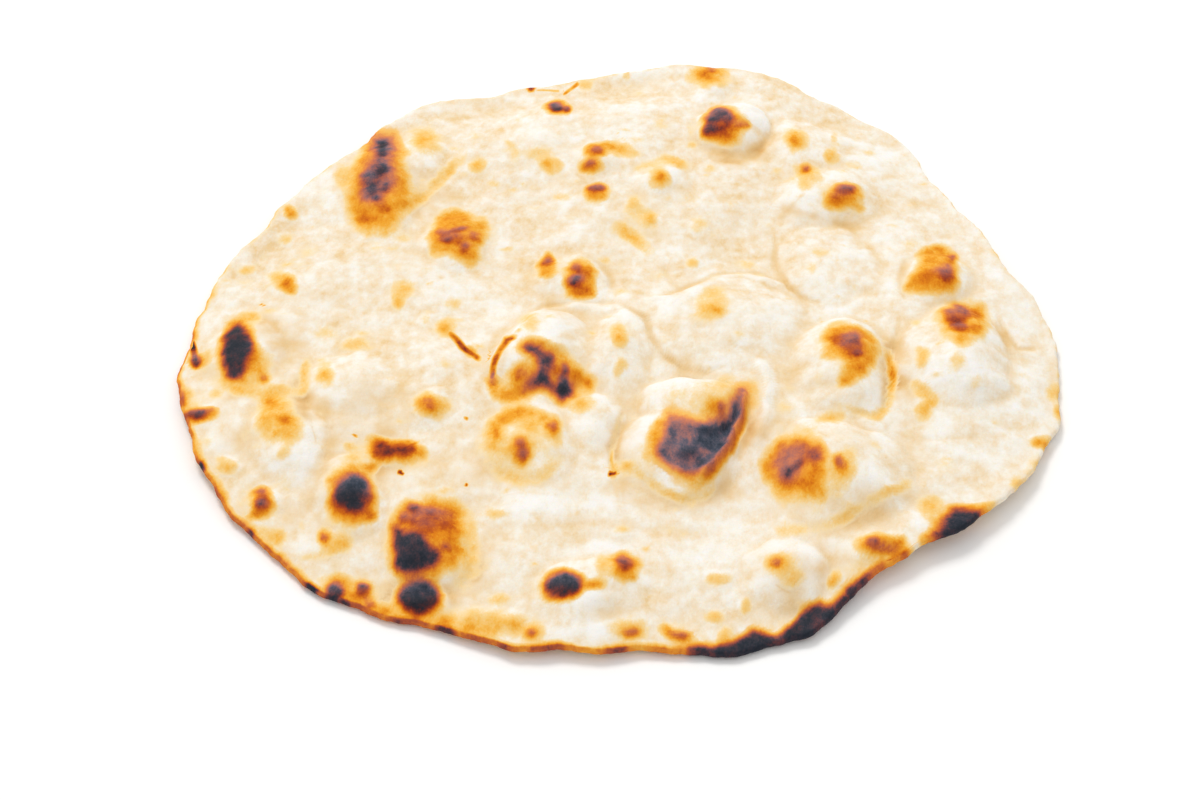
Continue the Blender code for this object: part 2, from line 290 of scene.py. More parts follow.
# ----------------------------------------------------------------------------
# Scorch marks, by pixel: x, y, half length, half width, turn, level, core.
# Level: .15 pale gold, .3 orange gold, .42 orange, .6 rust, .8 dark, 1 black.
# ----------------------------------------------------------------------------
MARKS = (
    # back left
    (383, 143, 7, 6, 0, 1.0, 0.4), (382, 153, 6, 5, 0, 0.92, 0.4),
    (382, 169, 6, 9, 0, 0.98, 0.4), (366, 180, 7, 11, 0, 0.68, 0.5),
    (372, 191, 4, 8, 10, 0.86, 0.3), (386, 187, 4, 9, 0, 0.84, 0.3),
    (377, 198, 6, 3, 0, 0.84, 0.3), (379, 190, 3, 4, 0, 0.60, 0.2),
    (386, 209, 11, 7, -20, 0.54, 0.4), (364, 219, 11, 8, 0, 0.48, 0.4),
    (376, 206, 8, 8, 0, 0.46, 0.3), (405, 188, 6, 14, 0, 0.38, 0.5),
    (343, 178, 9, 14, 0, 0.26, 0.4), (424, 138, 13, 11, 0, 0.30, 0.4),
    (431, 147, 14, 11, 0, 0.16, 0.3), (478, 165, 10, 7, 25, 0.30, 0.4),
    (515, 154, 5, 11, 5, 0.17, 0.3), (508, 143, 6, 3, -30, 0.16, 0.2),
    (540, 153, 14, 7, 0, 0.19, 0.3), (551, 165, 12, 8, -15, 0.33, 0.3),
    (547, 163, 5, 4, 0, 0.46, 0.2), (596, 151, 12, 8, 10, 0.50, 0.5),
    (597, 150, 7, 5, 0, 0.68, 0.3), (591, 163, 8, 4.5, 0, 0.76, 0.3),
    (591, 167, 13, 8, 0, 0.48, 0.5), (609, 146, 9, 5, 0, 0.44, 0.3),
    (621, 149, 13, 7, -8, 0.32, 0.4), (633, 154, 7, 5, 0, 0.20, 0.3),
    (598, 194, 14, 9, 0, 0.41, 0.5), (596, 188, 11, 4.5, 0, 0.74, 0.4),
    (561, 197, 10, 4, 0, 0.18, 0.3), (442, 233, 8, 5, 0, 0.62, 0.4),
    (452, 237, 15, 9, -8, 0.62, 0.5), (458, 230, 11, 4, 10, 0.76, 0.4),
    (447, 240, 8, 4, 0, 0.72, 0.3), (464, 247, 5, 8, -20, 0.74, 0.3),
    (474, 237, 6, 6, 0, 0.58, 0.4), (470, 254, 8, 6, 0, 0.48, 0.4),
    (450, 219, 12, 7, 0, 0.36, 0.4), (405, 238, 7, 6, 0, 0.15, 0.3),
    (547, 266, 10, 13, 0, 0.44, 0.6), (547, 262, 6, 5, 0, 0.66, 0.4),
    (580, 280, 17, 19, 0, 0.44, 0.7), (577, 268, 7, 7, 0, 0.64, 0.4),
    (575, 281, 11, 9, 0, 0.78, 0.4), (581, 291, 14, 7, 0, 0.52, 0.4),
    (588, 272, 6, 7, 0, 0.50, 0.4), (404, 288, 9, 9, 0, 0.28, 0.4),
    (400, 302, 6, 8, 0, 0.33, 0.4), (397, 293, 8, 10, 0, 0.22, 0.4),
    (291, 212, 7, 9, 30, 0.44, 0.4), (285, 239, 8, 5, 10, 0.26, 0.3),
    (281, 279, 13, 9, -10, 0.32, 0.4), (288, 286, 11, 8, -25, 0.42, 0.4),
    (287, 282, 6, 5, 0, 0.54, 0.3),
    (246, 270, 9, 5, 10, 0.26, 0.3), (530, 321, 11, 10, 0, 0.20, 0.3),
    (328, 333, 11, 7, 0, 0.15, 0.3),
    (357, 344, 14, 6, 5, 0.25, 0.4), (426, 319, 5, 8, 0, 0.16, 0.3),
    (325, 375, 9, 13, 0, 0.30, 0.5), (404, 153, 9, 3, 0, 0.30, 0.2),
    (558, 108, 14, 8, 0, 0.42, 0.5), (556, 107, 9, 5, 0, 0.80, 0.4),
    (567, 109, 4, 3, 0, 0.72, 0.3), (585, 85, 7, 6, 0, 0.28, 0.3),
    (531, 88, 2.2, 4, 0, 0.85, 0.3), (627, 76, 4, 6, 0, 0.24, 0.3),
    # back right
    (709, 76, 19, 11, -5, 0.39, 0.6), (705, 75, 10, 7, 0, 0.53, 0.4),
    (712, 70, 7, 5, 0, 0.58, 0.3), (723, 125, 20, 18, 0, 0.40, 0.7),
    (722, 126, 18, 14, 0, 0.52, 0.8), (719, 120, 16, 13, 0, 0.80, 0.6),
    (711, 129, 9, 7, 0, 0.76, 0.5), (720, 112, 12, 5, 0, 0.74, 0.4),
    (741, 125, 10, 5, -10, 0.58, 0.4), (728, 139, 9, 8, 0, 0.42, 0.4),
    (710, 136, 9, 6, 0, 0.46, 0.4), (692, 146, 5, 4, 0, 0.24, 0.3),
    (691, 130, 4, 8, 0, 0.12, 0.3), (660, 125, 8, 6, 0, 0.12, 0.3),
    (659, 178, 11, 11, 0, 0.34, 0.5), (659, 177, 7, 7, 0, 0.48, 0.4),
    (796, 140, 12, 11, 0, 0.36, 0.4), (795, 141, 7, 8, 0, 0.42, 0.4),
    (338, 583, 17, 11, 0, 0.42, 0.2), (353, 598, 18, 10, 0, 0.43, 0.2),
    (384, 610, 19, 9, 0, 0.42, 0.2), (412, 614, 20, 9, 0, 0.41, 0.2),
    (440, 622, 23, 11, 0, 0.40, 0.2), (472, 630, 23, 10, 0, 0.41, 0.2),
    (834, 138, 4, 7, 0, 0.20, 0.3), (831, 156, 7, 8, 0, 0.32, 0.4),
    (808, 173, 14, 9, -25, 0.33, 0.4), (806, 168, 6, 5, 0, 0.62, 0.3),
    (805, 185, 8, 5, 0, 0.22, 0.3), (843, 197, 20, 13, 12, 0.40, 0.6),
    (845, 189, 14, 6, 5, 0.73, 0.4), (840, 195, 13, 6, 5, 0.56, 0.4),
    (838, 202, 11, 6, 0, 0.43, 0.4), (858, 207, 7, 7, 0, 0.34, 0.4),
    (710, 168, 5, 4, 0, 0.18, 0.3), (633, 205, 6, 8, -30, 0.26, 0.4),
    (650, 218, 6, 9, 10, 0.30, 0.4), (641, 216, 16, 12, -30, 0.17, 0.3), (698, 225, 10, 8, 0, 0.17, 0.3), (728, 140, 14, 8, 0, 0.30, 0.3),
    (692, 263, 6, 7, 10, 0.24, 0.2), (811, 267, 5, 6, 0, 0.15, 0.2),
    (747, 265, 11, 6, -10, 0.13, 0.3), (712, 309, 18, 12, 15, 0.29, 0.5),
    (716, 312, 9, 6, 15, 0.37, 0.4), (712, 294, 14, 9, 0, 0.18, 0.3),
    (928, 277, 13, 9, 10, 0.48, 0.4), (947, 274, 9, 11, -10, 0.68, 0.45),
    (938, 272, 8, 9, 0, 0.56, 0.4), (952, 259, 4, 7, -25, 0.64, 0.3), (940, 286, 14, 5, 0, 0.44, 0.4),
    (963, 321, 25, 20, -5, 0.39, 0.7), (958, 315, 14, 12, 0, 0.70, 0.6),
    (960, 327, 11, 5, 0, 0.72, 0.4), (976, 328, 11, 7, 0, 0.46, 0.4),
    (962, 339, 9, 7, 0, 0.36, 0.4), (976, 313, 9, 10, 0, 0.52, 0.3),
    (853, 345, 12, 16, 10, 0.66, 0.5), (856, 339, 5, 5, 0, 0.74, 0.3),
    (858, 353, 7, 5, 0, 0.76, 0.3), (843, 345, 8, 6, 0, 0.62, 0.3),
    (837, 339, 10, 8, 0, 0.54, 0.4), (858, 368, 12, 8, 0, 0.42, 0.4),
    (846, 379, 5, 8, 0, 0.33, 0.4), (922, 358, 8, 11, 20, 0.29, 0.4),
    (916, 323, 5, 5, 0, 0.16, 0.3), (957, 360, 9, 8, 0, 0.19, 0.3),
    (818, 378, 5, 8, 0, 0.14, 0.3), (832, 417, 14, 6, 5, 0.28, 0.3),
    (806, 430, 12, 7, 5, 0.15, 0.3), (1054, 392, 8, 9, 0, 0.26, 0.4),
    (1057, 411, 4, 8, 0, 0.34, 0.3), (1040, 442, 11, 7, 0, 0.40, 0.3),
    (1016, 482, 7, 8, 0, 0.26, 0.4), (1035, 465, 8, 8, 0, 0.16, 0.3),
    (976, 383, 6, 8, 0, 0.13, 0.3),
    # left
    (241, 350, 14, 29, -5, 0.44, 0.6), (256, 357, 8, 13, -12, 0.44, 0.5),
    (248, 350, 5, 14, 0, 0.72, 0.4), (250, 317, 13, 6, -8, 0.31, 0.4),
    (264, 376, 9, 10, 0, 0.36, 0.4), (265, 378, 5, 5, 0, 0.64, 0.3),
    (258, 366, 13, 16, -10, 0.33, 0.4), (196, 362, 7, 8, 0, 0.88, 0.5),
    (199, 362, 7, 7, 0, 0.38, 0.4), (207, 357, 6, 9, 0, 0.24, 0.3),
    (181, 400, 4, 12, 0, 0.72, 0.3), (188, 396, 6, 9, 0, 0.33, 0.3),
    (199, 415, 17, 9, 0, 0.48, 0.6), (198, 414, 12, 6, 0, 0.88, 0.5),
    (212, 411, 7, 4, 15, 0.58, 0.3), (187, 419, 5, 4, 0, 0.52, 0.3),
    (216, 394, 7, 5, 0, 0.24, 0.3), (207, 442, 6, 7, 0, 0.12, 0.3),
    (285, 421, 9, 9, 0, 0.54, 0.4), (270, 402, 9, 6, 0, 0.46, 0.4),
    (262, 420, 5, 9, 0, 0.34, 0.4), (288, 434, 9, 6, 0, 0.36, 0.4),
    (284, 453, 8, 7, 0, 0.21, 0.3), (228, 467, 10, 8, 0, 0.31, 0.4),
    (220, 458, 6, 5, 0, 0.20, 0.3), (246, 384, 16, 7, 0, 0.24, 0.3), (262, 503, 13, 17, 10, 0.44, 0.6),
    (262, 495, 8, 8, 0, 0.66, 0.4), (260, 505, 8, 7, 0, 0.82, 0.4),
    (253, 515, 6, 6, 0, 0.54, 0.3), (261, 532, 5, 7, 0, 0.30, 0.4),
    (275, 537, 10, 9, 0, 0.30, 0.4), (302, 526, 5, 5, 0, 0.16, 0.3),
    (325, 537, 9, 9, 0, 0.40, 0.5), (324, 537, 6, 6, 0, 0.68, 0.4),
    (345, 543, 9, 8, 0, 0.34, 0.4), (333, 549, 7, 4, 0, 0.44, 0.3),
    (335, 540, 14, 9, 0, 0.24, 0.4), (268, 560, 7, 5, -20, 0.64, 0.3),
    (282, 567, 10, 6, -15, 0.92, 0.4), (243, 527, 4, 7, 0, 0.80, 0.3),
    (238, 538, 4, 8, -20, 0.80, 0.3), (228, 514, 5, 6, 0, 0.60, 0.3),
    (197, 463, 4, 7, 0, 0.45, 0.2), (446, 328, 9, 10, -20, 0.36, 0.5), (470, 352, 9, 5, -35, 0.44, 0.3),
    (445, 365, 6, 8, 0, 0.14, 0.3), (427, 405, 12, 13, 0, 0.42, 0.6),
    (427, 402, 6, 6, 0, 0.60, 0.4), (429, 407, 5, 4, 0, 0.74, 0.3),
    (442, 405, 11, 9, 0, 0.31, 0.4), (438, 418, 6, 6, 0, 0.24, 0.3),
    (419, 452, 8, 6, 0, 0.42, 0.4), (398, 456, 9, 4, 0, 0.54, 0.3),
    (410, 462, 10, 4, 0, 0.22, 0.3), (372, 438, 6, 5, 0, 0.33, 0.3),
    (351, 495, 25, 29, 0, 0.48, 0.74), (352, 494, 22, 22, 0, 0.89, 0.5),
    (353, 490, 12, 13, 0, 1.00, 0.4), (355, 507, 14, 8, 0, 0.80, 0.4),
    (370, 515, 10, 7, 15, 0.52, 0.4), (345, 517, 13, 6, 0, 0.46, 0.4),
    (352, 456, 9, 9, 0, 0.24, 0.4), (350, 447, 7, 5, 0, 0.34, 0.3),
    (371, 468, 9, 5, 10, 0.50, 0.4), (430, 518, 26, 13, -3, 0.61, 0.6),
    (414, 508, 7, 6, 0, 0.76, 0.4), (432, 513, 9, 5, 0, 0.72, 0.4),
    (404, 518, 6, 8, 0, 0.74, 0.3), (446, 547, 6, 5, 0, 0.72, 0.3),
    (425, 527, 14, 8, 0, 0.64, 0.4), (452, 532, 7, 14, 0, 0.46, 0.4),
    (419, 598, 22, 20, 0, 0.50, 0.8), (419, 597, 20, 18, 0, 0.97, 0.7),
    (415, 620, 12, 6, 0, 0.50, 0.3), (335, 592, 11, 10, 0, 0.93, 0.5),
    (363, 590, 8, 9, 0, 0.86, 0.4), (350, 588, 26, 10, -5, 0.28, 0.5),
    (370, 604, 9, 5, -15, 0.62, 0.3), (500, 600, 11, 6, 0, 0.26, 0.4),
    (445, 622, 9, 7, 0, 0.40, 0.4), (470, 618, 12, 7, 0, 0.22, 0.3),
    (490, 626, 12, 8, 0, 0.34, 0.4), (515, 625, 13, 9, 0, 0.34, 0.4),
    (531, 633, 12, 11, 0, 0.38, 0.5), (531, 633, 7, 6, 0, 0.56, 0.4),
    (490, 623, 44, 13, -6, 0.24, 0.6),
    # middle
    (521, 451, 12, 16, 0, 0.42, 0.7), (521, 445, 8, 9, 0, 0.62, 0.4),
    (523, 455, 8, 7, 0, 0.72, 0.4), (496, 434, 10, 13, -15, 0.36, 0.5),
    (496, 432, 6, 8, 0, 0.44, 0.4), (492, 446, 9, 5, 0, 0.32, 0.4),
    (530, 425, 11, 9, 0, 0.33, 0.4), (553, 428, 10, 11, -20, 0.44, 0.5),
    (553, 427, 6, 7, 0, 0.56, 0.4), (558, 438, 5, 7, 0, 0.33, 0.3),
    (522, 444, 34, 20, 0, 0.15, 0.3), (506, 450, 14, 14, 0, 0.20, 0.3),
    (494, 514, 14, 6, 5, 0.22, 0.3), (540, 381, 12, 5, 0, 1.00, 0.5),
    (549, 357, 7, 6, 0, 0.86, 0.4), (541, 373, 5, 5, 0, 0.92, 0.3),
    (563, 388, 8, 12, 0, 0.94, 0.5), (565, 372, 5, 9, 0, 0.82, 0.4),
    (557, 372, 7, 8, 0, 0.54, 0.4), (575, 377, 9, 7, 0, 0.46, 0.4),
    (586, 382, 7, 5, 0, 0.48, 0.4), (521, 372, 9, 4, 20, 0.64, 0.4),
    (518, 384, 8, 7, 0, 0.46, 0.4), (526, 390, 10, 4, 15, 0.62, 0.3),
    (510, 395, 12, 4, 0, 0.36, 0.4), (492, 383, 6, 8, 0, 0.56, 0.4),
    (580, 404, 15, 8, 0, 0.29, 0.4), (619, 336, 9, 13, 5, 0.34, 0.5),
    (620, 367, 7, 11, -15, 0.27, 0.4), (613, 474, 5, 4, 0, 0.50, 0.3),
    (614, 467, 3, 4, 0, 0.38, 0.3), (627, 466, 8, 6, 0, 0.35, 0.4),
    (710, 431, 6, 6, -20, 1.10, 0.3), (724, 426, 5, 8, -40, 1.05, 0.3),
    (685, 453, 16, 7, -12, 0.94, 0.2), (700, 462, 8, 5, 20, 0.86, 0.2),
    (698, 398, 40, 15, 0, 0.13, 0.3), (724, 386, 14, 10, 0, 0.18, 0.3),
    (655, 440, 12, 14, 0, 0.40, 0.4), (662, 452, 8, 8, 0, 0.64, 0.3),
    (648, 455, 8, 7, 0, 0.28, 0.4), (664, 424, 12, 8, -20, 0.40, 0.4),
    (688, 473, 16, 7, -5, 0.54, 0.4), (695, 487, 10, 5, -10, 0.38, 0.4),
    (715, 406, 12, 10, 0, 0.48, 0.5), (722, 407, 5, 9, 0, 0.70, 0.4),
    (708, 413, 8, 6, 0, 0.30, 0.3),
    # front
    (563, 585, 21, 16, 0, 0.50, 0.8), (563, 585, 18, 13.5, 0, 1.02, 0.65),
    (555, 597, 12, 5, 0, 0.62, 0.4), (591, 585, 15, 6, 0, 0.52, 0.3),
    (603, 567, 8, 12, 0, 0.29, 0.3), (624, 566, 16, 14, -35, 0.42, 0.5),
    (625, 563, 10, 8, -30, 0.72, 0.3), (633, 577, 6, 4, -50, 0.50, 0.2),
    (622, 530, 9, 5, 0, 0.18, 0.2), (718, 579, 13, 6, 5, 0.26, 0.4),
    (745, 606, 6, 9, -10, 0.28, 0.4), (715, 617, 10, 6, -5, 0.32, 0.4),
    (725, 636, 8, 9, 0, 0.34, 0.4), (668, 631, 8, 8, -40, 0.36, 0.4),
    (680, 635, 14, 5, -5, 0.62, 0.4), (629, 630, 19, 11, 0, 0.34, 0.5),
    (630, 632, 11, 5, 0, 0.68, 0.3), (672, 529, 14, 5, 0, 0.10, 0.2),
    # front right
    (792, 470, 10, 5, 25, 0.64, 0.3), (800, 483, 14, 5, 0, 0.54, 0.4),
    (787, 480, 9, 4, 0, 0.66, 0.4), (815, 468, 9, 10, 0, 0.50, 0.4),
    (812, 486, 12, 8, 0, 0.46, 0.4), (822, 498, 5, 7, 0, 0.40, 0.3),
    (781, 493, 7, 9, 0, 0.28, 0.4), (795, 497, 14, 7, 0, 0.20, 0.4),
    (840, 468, 14, 15, 0, 0.36, 0.5), (838, 459, 6, 5, 0, 0.58, 0.4),
    (842, 466, 6, 6, 0, 0.62, 0.4), (850, 452, 8, 7, 0, 0.22, 0.3),
    (838, 490, 10, 8, 0, 0.16, 0.3), (880, 545, 27, 12, -2, 0.40, 0.6),
    (873, 542, 10, 6, 0, 0.76, 0.4), (884, 549, 16, 5, 0, 0.72, 0.4),
    (897, 543, 9, 7, 0, 0.48, 0.4), (778, 563, 14, 9, 0, 0.36, 0.5),
    (776, 562, 8, 5, 0, 0.56, 0.4), (777, 564, 4, 3, 0, 0.72, 0.3),
    (785, 572, 17, 12, -25, 0.25, 0.5), (795, 580, 8, 7, 0, 0.32, 0.4),
    (834, 580, 6, 10, -25, 0.36, 0.4), (930, 507, 12, 12, 0, 0.29, 0.4),
    (930, 540, 11, 7, 0, 0.46, 0.4),
)
# Marks along a line: points, half width, level, core
STREAKS = (
    (((400, 213), (420, 198), (437, 182), (452, 168), (462, 155)), 6.5, 0.28, 0.3),
    (((636, 172), (645, 164), (656, 162)), 4.5, 0.17, 0.2),
    (((660, 157), (672, 161), (687, 166)), 5.5, 0.25, 0.3),
    (((618, 228), (634, 238), (649, 250)), 7.5, 0.30, 0.3),
    (((917, 387), (925, 392), (931, 399), (925, 407), (921, 415)), 8, 0.38, 0.4),
    (((923, 252), (934, 250), (945, 252)), 5, 0.50, 0.3),
    (((377, 445), (390, 449), (405, 452), (420, 455)), 10, 0.42, 0.4),
    (((488, 440), (495, 425), (506, 416), (520, 413), (536, 415), (550, 422)), 9, 0.36, 0.3),
    (((490, 462), (502, 474), (520, 480), (541, 476), (556, 465)), 8, 0.17, 0.3),
    (((222, 384), (240, 391), (262, 393), (285, 390)), 6, 0.27, 0.3),
    (((468, 520), (472, 540), (474, 560), (462, 574)), 9, 0.20, 0.3),
    (((490, 390), (500, 397), (515, 398), (527, 393)), 5, 0.38, 0.3),
    (((744, 390), (745, 405), (742, 422), (735, 440), (725, 456), (712, 472), (700, 481)), 5, 0.56, 0.4),
    (((725, 455), (713, 470), (700, 480)), 6, 0.62, 0.4),
    (((752, 378), (756, 395), (752, 412)), 6, 0.18, 0.3),
    (((621, 465), (632, 467), (645, 477), (660, 489), (675, 497), (690, 501), (706, 496),
      (716, 484)), 5, 0.30, 0.3),
    (((662, 628), (672, 635), (685, 641), (694, 646)), 5, 0.46, 0.3),
    (((783, 476), (795, 467), (806, 460)), 5, 0.80, 0.4),
    (((300, 560), (315, 556), (332, 552)), 5, 0.20, 0.3),
    (((960, 508), (980, 508), (997, 505), (1012, 498)), 5, 0.44, 0.3),
    (((888, 352), (891, 364), (893, 380), (890, 396), (885, 408)), 4.5, 0.44, 0.3),
    (((887, 402), (883, 410), (878, 416)), 5, 0.24, 0.3),
    (((880, 417), (866, 413), (850, 408), (836, 405)), 5, 0.13, 0.3),
    (((908, 484), (884, 494), (864, 505), (850, 515), (828, 524)), 7, 0.27, 0.3),
    (((828, 525), (800, 530), (772, 530)), 7, 0.14, 0.3),
    (((886, 565), (900, 558), (914, 551), (930, 542), (944, 531)), 5, 0.88, 0.4),
    (((306, 362), (304, 376), (303, 392)), 5, 0.29, 0.3),
    (((383, 141), (381, 152), (377, 165), (379, 177), (373, 191)), 5.5, 0.93, 0.4),
    (((280, 389), (292, 391), (303, 391)), 5, 0.22, 0.3),
    (((490, 560), (478, 572), (464, 581), (452, 587)), 5, 0.17, 0.3),
    (((622, 410), (617, 430), (612, 448), (611, 464)), 4.5, 0.15, 0.3),
)
# Thin dark lines: points, half width, level
HAIRLINES = (
    (((562, 95), (568, 91), (574, 87), (581, 83)), 1.2, 0.50),
    (((536, 90), (548, 91), (560, 91)), 1.0, 0.28),
    (((447, 330), (455, 338), (462, 347), (471, 353), (483, 361)), 2.6, 0.70),
    (((190, 339), (193, 351), (198, 366)), 3.0, 0.98),
    (((517, 336), (507, 339), (501, 348), (497, 358), (493, 368), (489, 386)), 2.4, 0.64),
    (((613, 448), (612, 460), (613, 470)), 1.6, 0.30),
    (((608, 475), (613, 474), (618, 472)), 1.7, 0.86),
    (((396, 471), (402, 473)), 2.0, 0.95),
    (((353, 435), (358, 436)), 1.3, 0.62),
    (((463, 484), (467, 485)), 1.4, 0.62),
    (((465, 418), (469, 419)), 1.4, 0.62),
    (((260, 305), (264, 305)), 1.4, 0.66),
    (((884, 565), (905, 556), (920, 550), (938, 543)), 2.6, 0.74),
)
# Scorched patches with an outline of their own: points, softness, level, painted sheen (a mauve and blue-grey
# reflection painted on the scorch)
CHARS = (
    (((670, 418), (683, 421), (697, 424), (706, 424), (716, 421), (727, 418),
      (733, 406), (739, 393), (743, 390), (742, 405), (738, 420), (730, 436),
      (720, 450), (706, 464), (694, 471), (684, 470), (672, 466), (663, 460),
      (660, 452), (666, 440), (668, 430)), 3.6, 0.83, 1.0),
    (((698, 428), (722, 424), (730, 430), (724, 446), (712, 460), (702, 454),
      (696, 440)), 3.5, 0.92, 1.0),
    (((668, 652), (680, 650), (696, 648), (720, 648), (732, 646), (738, 642), (746, 637),
      (751, 631), (758, 632), (763, 634), (769, 637), (776, 638), (784, 634),
      (795, 625), (803, 613), (808, 606), (818, 604), (826, 607), (833, 606),
      (840, 600), (848, 590), (856, 583), (864, 577), (872, 571), (880, 567), (892, 562),
      (904, 557), (914, 553), (918, 560), (900, 580), (880, 600), (842, 632), (812, 655), (780, 672), (700, 676)),
     2.2, 1.0, 0.5),
    (((934, 538), (938, 527), (945, 518), (952, 513), (962, 511), (974, 513),
      (986, 514), (997, 512), (990, 528), (972, 545), (945, 550)), 3.0, 1.0, 0.5),
    (((372, 140), (392, 138), (397, 150), (400, 163), (404, 176), (404, 188),
      (409, 203), (400, 211), (395, 222), (386, 232), (378, 226), (369, 229),
      (359, 226), (355, 213), (350, 200), (354, 184), (357, 168), (366, 152)), 3.2, 0.40, 0.0),
    (((374, 137), (392, 138), (395, 148), (390, 156), (391, 166), (394, 177), (391, 189),
      (384, 193), (380, 201), (368, 201), (362, 193), (363, 180), (367, 168), (375, 157),
      (372, 148)), 3.4, 0.72, 0.95),
    (((433, 254), (432, 235), (438, 222), (446, 213), (455, 210), (465, 214),
      (473, 222), (483, 222), (485, 232), (483, 240), (477, 248), (478, 258),
      (470, 265), (460, 257), (445, 251)), 2.2, 0.38, 0.0),
    (((907, 288), (911, 278), (919, 268), (924, 259), (919, 256), (926, 250),
      (938, 248), (948, 252), (953, 262), (957, 272), (958, 282), (950, 290),
      (930, 292)), 2.2, 0.38, 0.0),
    (((828, 345), (825, 335), (832, 328), (845, 326), (860, 328), (870, 336),
      (876, 350), (874, 362), (866, 372), (855, 376), (850, 383), (843, 385),
      (842, 378), (846, 368), (850, 362), (843, 356), (833, 355), (824, 355)), 2.2, 0.40, 0.0),
    (((232, 328), (238, 324), (244, 330), (248, 340), (251, 350), (246, 358),
      (243, 368), (238, 377), (230, 378), (226, 368), (224, 355), (225, 342)), 2.8, 1.0, 0.4),
    (((258, 425), (262, 402), (272, 396), (282, 400), (292, 412), (299, 424),
      (297, 436), (288, 441), (276, 436), (270, 440), (262, 430)), 3.0, 0.26, 0.0),
    (((374, 441), (380, 440), (386, 445), (400, 446), (412, 446), (414, 452),
      (405, 455), (395, 454), (388, 458), (377, 459), (374, 452)), 2.4, 0.84, 0.0),
    (((396, 529), (400, 514), (408, 505), (420, 508), (430, 500), (443, 504), (452, 504),
      (461, 511), (457, 522), (462, 534), (458, 545), (464, 553), (455, 564), (444, 565),
      (433, 573), (405, 577), (394, 567), (391, 548)), 3.2, 0.47, 0.0),
    (((396, 528), (402, 533), (411, 534), (421, 537), (429, 543), (436, 551),
      (438, 558), (430, 565), (418, 570), (405, 572), (397, 565), (397, 548),
      (394, 537)), 2.8, 1.0, 0.5),
    (((521, 350), (526, 342), (540, 341), (548, 346), (562, 352), (570, 360),
      (580, 372), (592, 382), (590, 388), (578, 388), (571, 395), (563, 401),
      (556, 396), (548, 389), (536, 388), (526, 397), (508, 398), (498, 395),
      (508, 385), (512, 372), (520, 364), (535, 366), (530, 357)), 2.8, 0.36, 0.0),
    (((524, 346), (531, 344), (539, 347), (545, 353), (552, 353), (555, 360),
      (551, 368), (549, 376), (552, 384), (558, 392), (566, 390), (571, 386),
      (576, 386), (570, 394), (563, 401), (557, 396), (549, 388), (540, 385),
      (531, 388), (524, 391), (528, 384), (533, 377), (538, 370), (541, 362),
      (536, 355), (529, 352)), 2.4, 0.84, 0.6),
    (((766, 478), (765, 463), (771, 450), (781, 442), (795, 439), (810, 441),
      (820, 449), (824, 460), (827, 472), (820, 480), (823, 489), (815, 497),
      (806, 494), (797, 487), (789, 492), (781, 490), (775, 487), (771, 480)), 3.0, 0.42, 0.0),
    (((776, 462), (782, 450), (795, 446), (806, 450), (804, 462), (800, 472),
      (790, 478), (778, 476)), 3.5, 0.66, 0.9),
    (((803, 446), (818, 446), (823, 456), (814, 462), (803, 456)), 3.0, 0.64, 0.6),
)
# Folds and blister feet, with painted shade as tan lines: points, half width, tan, depth in mm
FOLDS = (
    (((704, 155), (720, 161), (740, 162), (757, 156), (766, 142), (765, 124)), 4, 0.75, 0.5),
    (((773, 116), (770, 132), (771, 148)), 3.5, 0.55, 0.5),
    (((770, 205), (800, 213), (830, 221), (850, 226), (874, 228)), 5, 0.65, 0.3),
    (((773, 230), (774, 258), (786, 284), (804, 297), (822, 304)), 4.5, 0.75, 0.7),
    (((646, 297), (673, 293), (692, 286), (712, 276), (737, 273), (766, 275),
      (784, 283), (798, 295)), 3.6, 0.55, 0.6),
    (((664, 262), (668, 281), (682, 289), (694, 285)), 5, 0.55, 0.5),
    (((641, 311), (651, 337), (664, 356), (683, 368), (705, 372), (726, 366)), 4.5, 0.65, 0.7),
    (((602, 260), (612, 281), (617, 300)), 5, 0.5, 0.4),
    (((907, 256), (900, 276), (903, 304)), 4, 0.5, 0.5),
    (((901, 318), (894, 340), (891, 356), (893, 375), (888, 397), (880, 417)), 5.5, 1.0, 1.0),
    (((880, 417), (867, 412), (850, 410)), 5, 0.6, 0.5),
    (((995, 313), (1008, 336), (1018, 348), (1041, 350)), 4, 0.75, 0.7),
    (((888, 482), (875, 505), (853, 518), (829, 525), (800, 527)), 8, 0.75, 0.3),
    (((903, 439), (938, 440), (982, 436)), 7, 0.45, 0.3),
    (((630, 470), (655, 489), (680, 501), (706, 498), (731, 474)), 7, 0.7, 0.4),
    (((748, 404), (750, 434), (738, 461)), 6, 0.6, 0.6),
    (((485, 464), (515, 482), (541, 478), (557, 467)), 8, 0.65, 0.3),
    (((470, 582), (486, 563)), 9, 0.45, 0.2),
    (((578, 611), (608, 612), (628, 596)), 9, 0.5, 0.2),
    (((303, 396), (312, 419), (317, 446)), 5, 0.6, 0.5),
    (((306, 368), (302, 390), (309, 405)), 6, 0.85, 0.6),
    (((771, 582), (790, 593), (811, 583)), 8, 0.6, 0.2),
    (((624, 407), (618, 431), (611, 449), (612, 472)), 3.5, 0.7, 0.8),
    (((519, 319), (543, 305), (580, 302), (619, 303), (645, 316), (655, 339), (681, 365)), 3.5, 0.4, 0.5),
    (((322, 449), (328, 480), (326, 512)), 5, 0.35, 0.3),
    (((399, 212), (424, 195), (443, 178), (461, 162)), 6, 0.5, 0.5),
    (((541, 404), (560, 398), (590, 395)), 4, 0.5, 0.6),
    (((451, 335), (466, 349), (480, 360)), 3, 0.5, 0.9),
    (((509, 340), (499, 353), (493, 368), (490, 380), (496, 392)), 3.5, 0.5, 0.8),
    (((356, 440), (430, 430), (470, 440)), 9, 0.25, 0.2),
    (((460, 500), (540, 492), (640, 506), (700, 512)), 9, 0.35, 0.2),
    (((500, 528), (600, 522), (720, 540)), 8, 0.3, 0.2),
    (((240, 395), (262, 392), (290, 392)), 8, 0.5, 0.3),
)
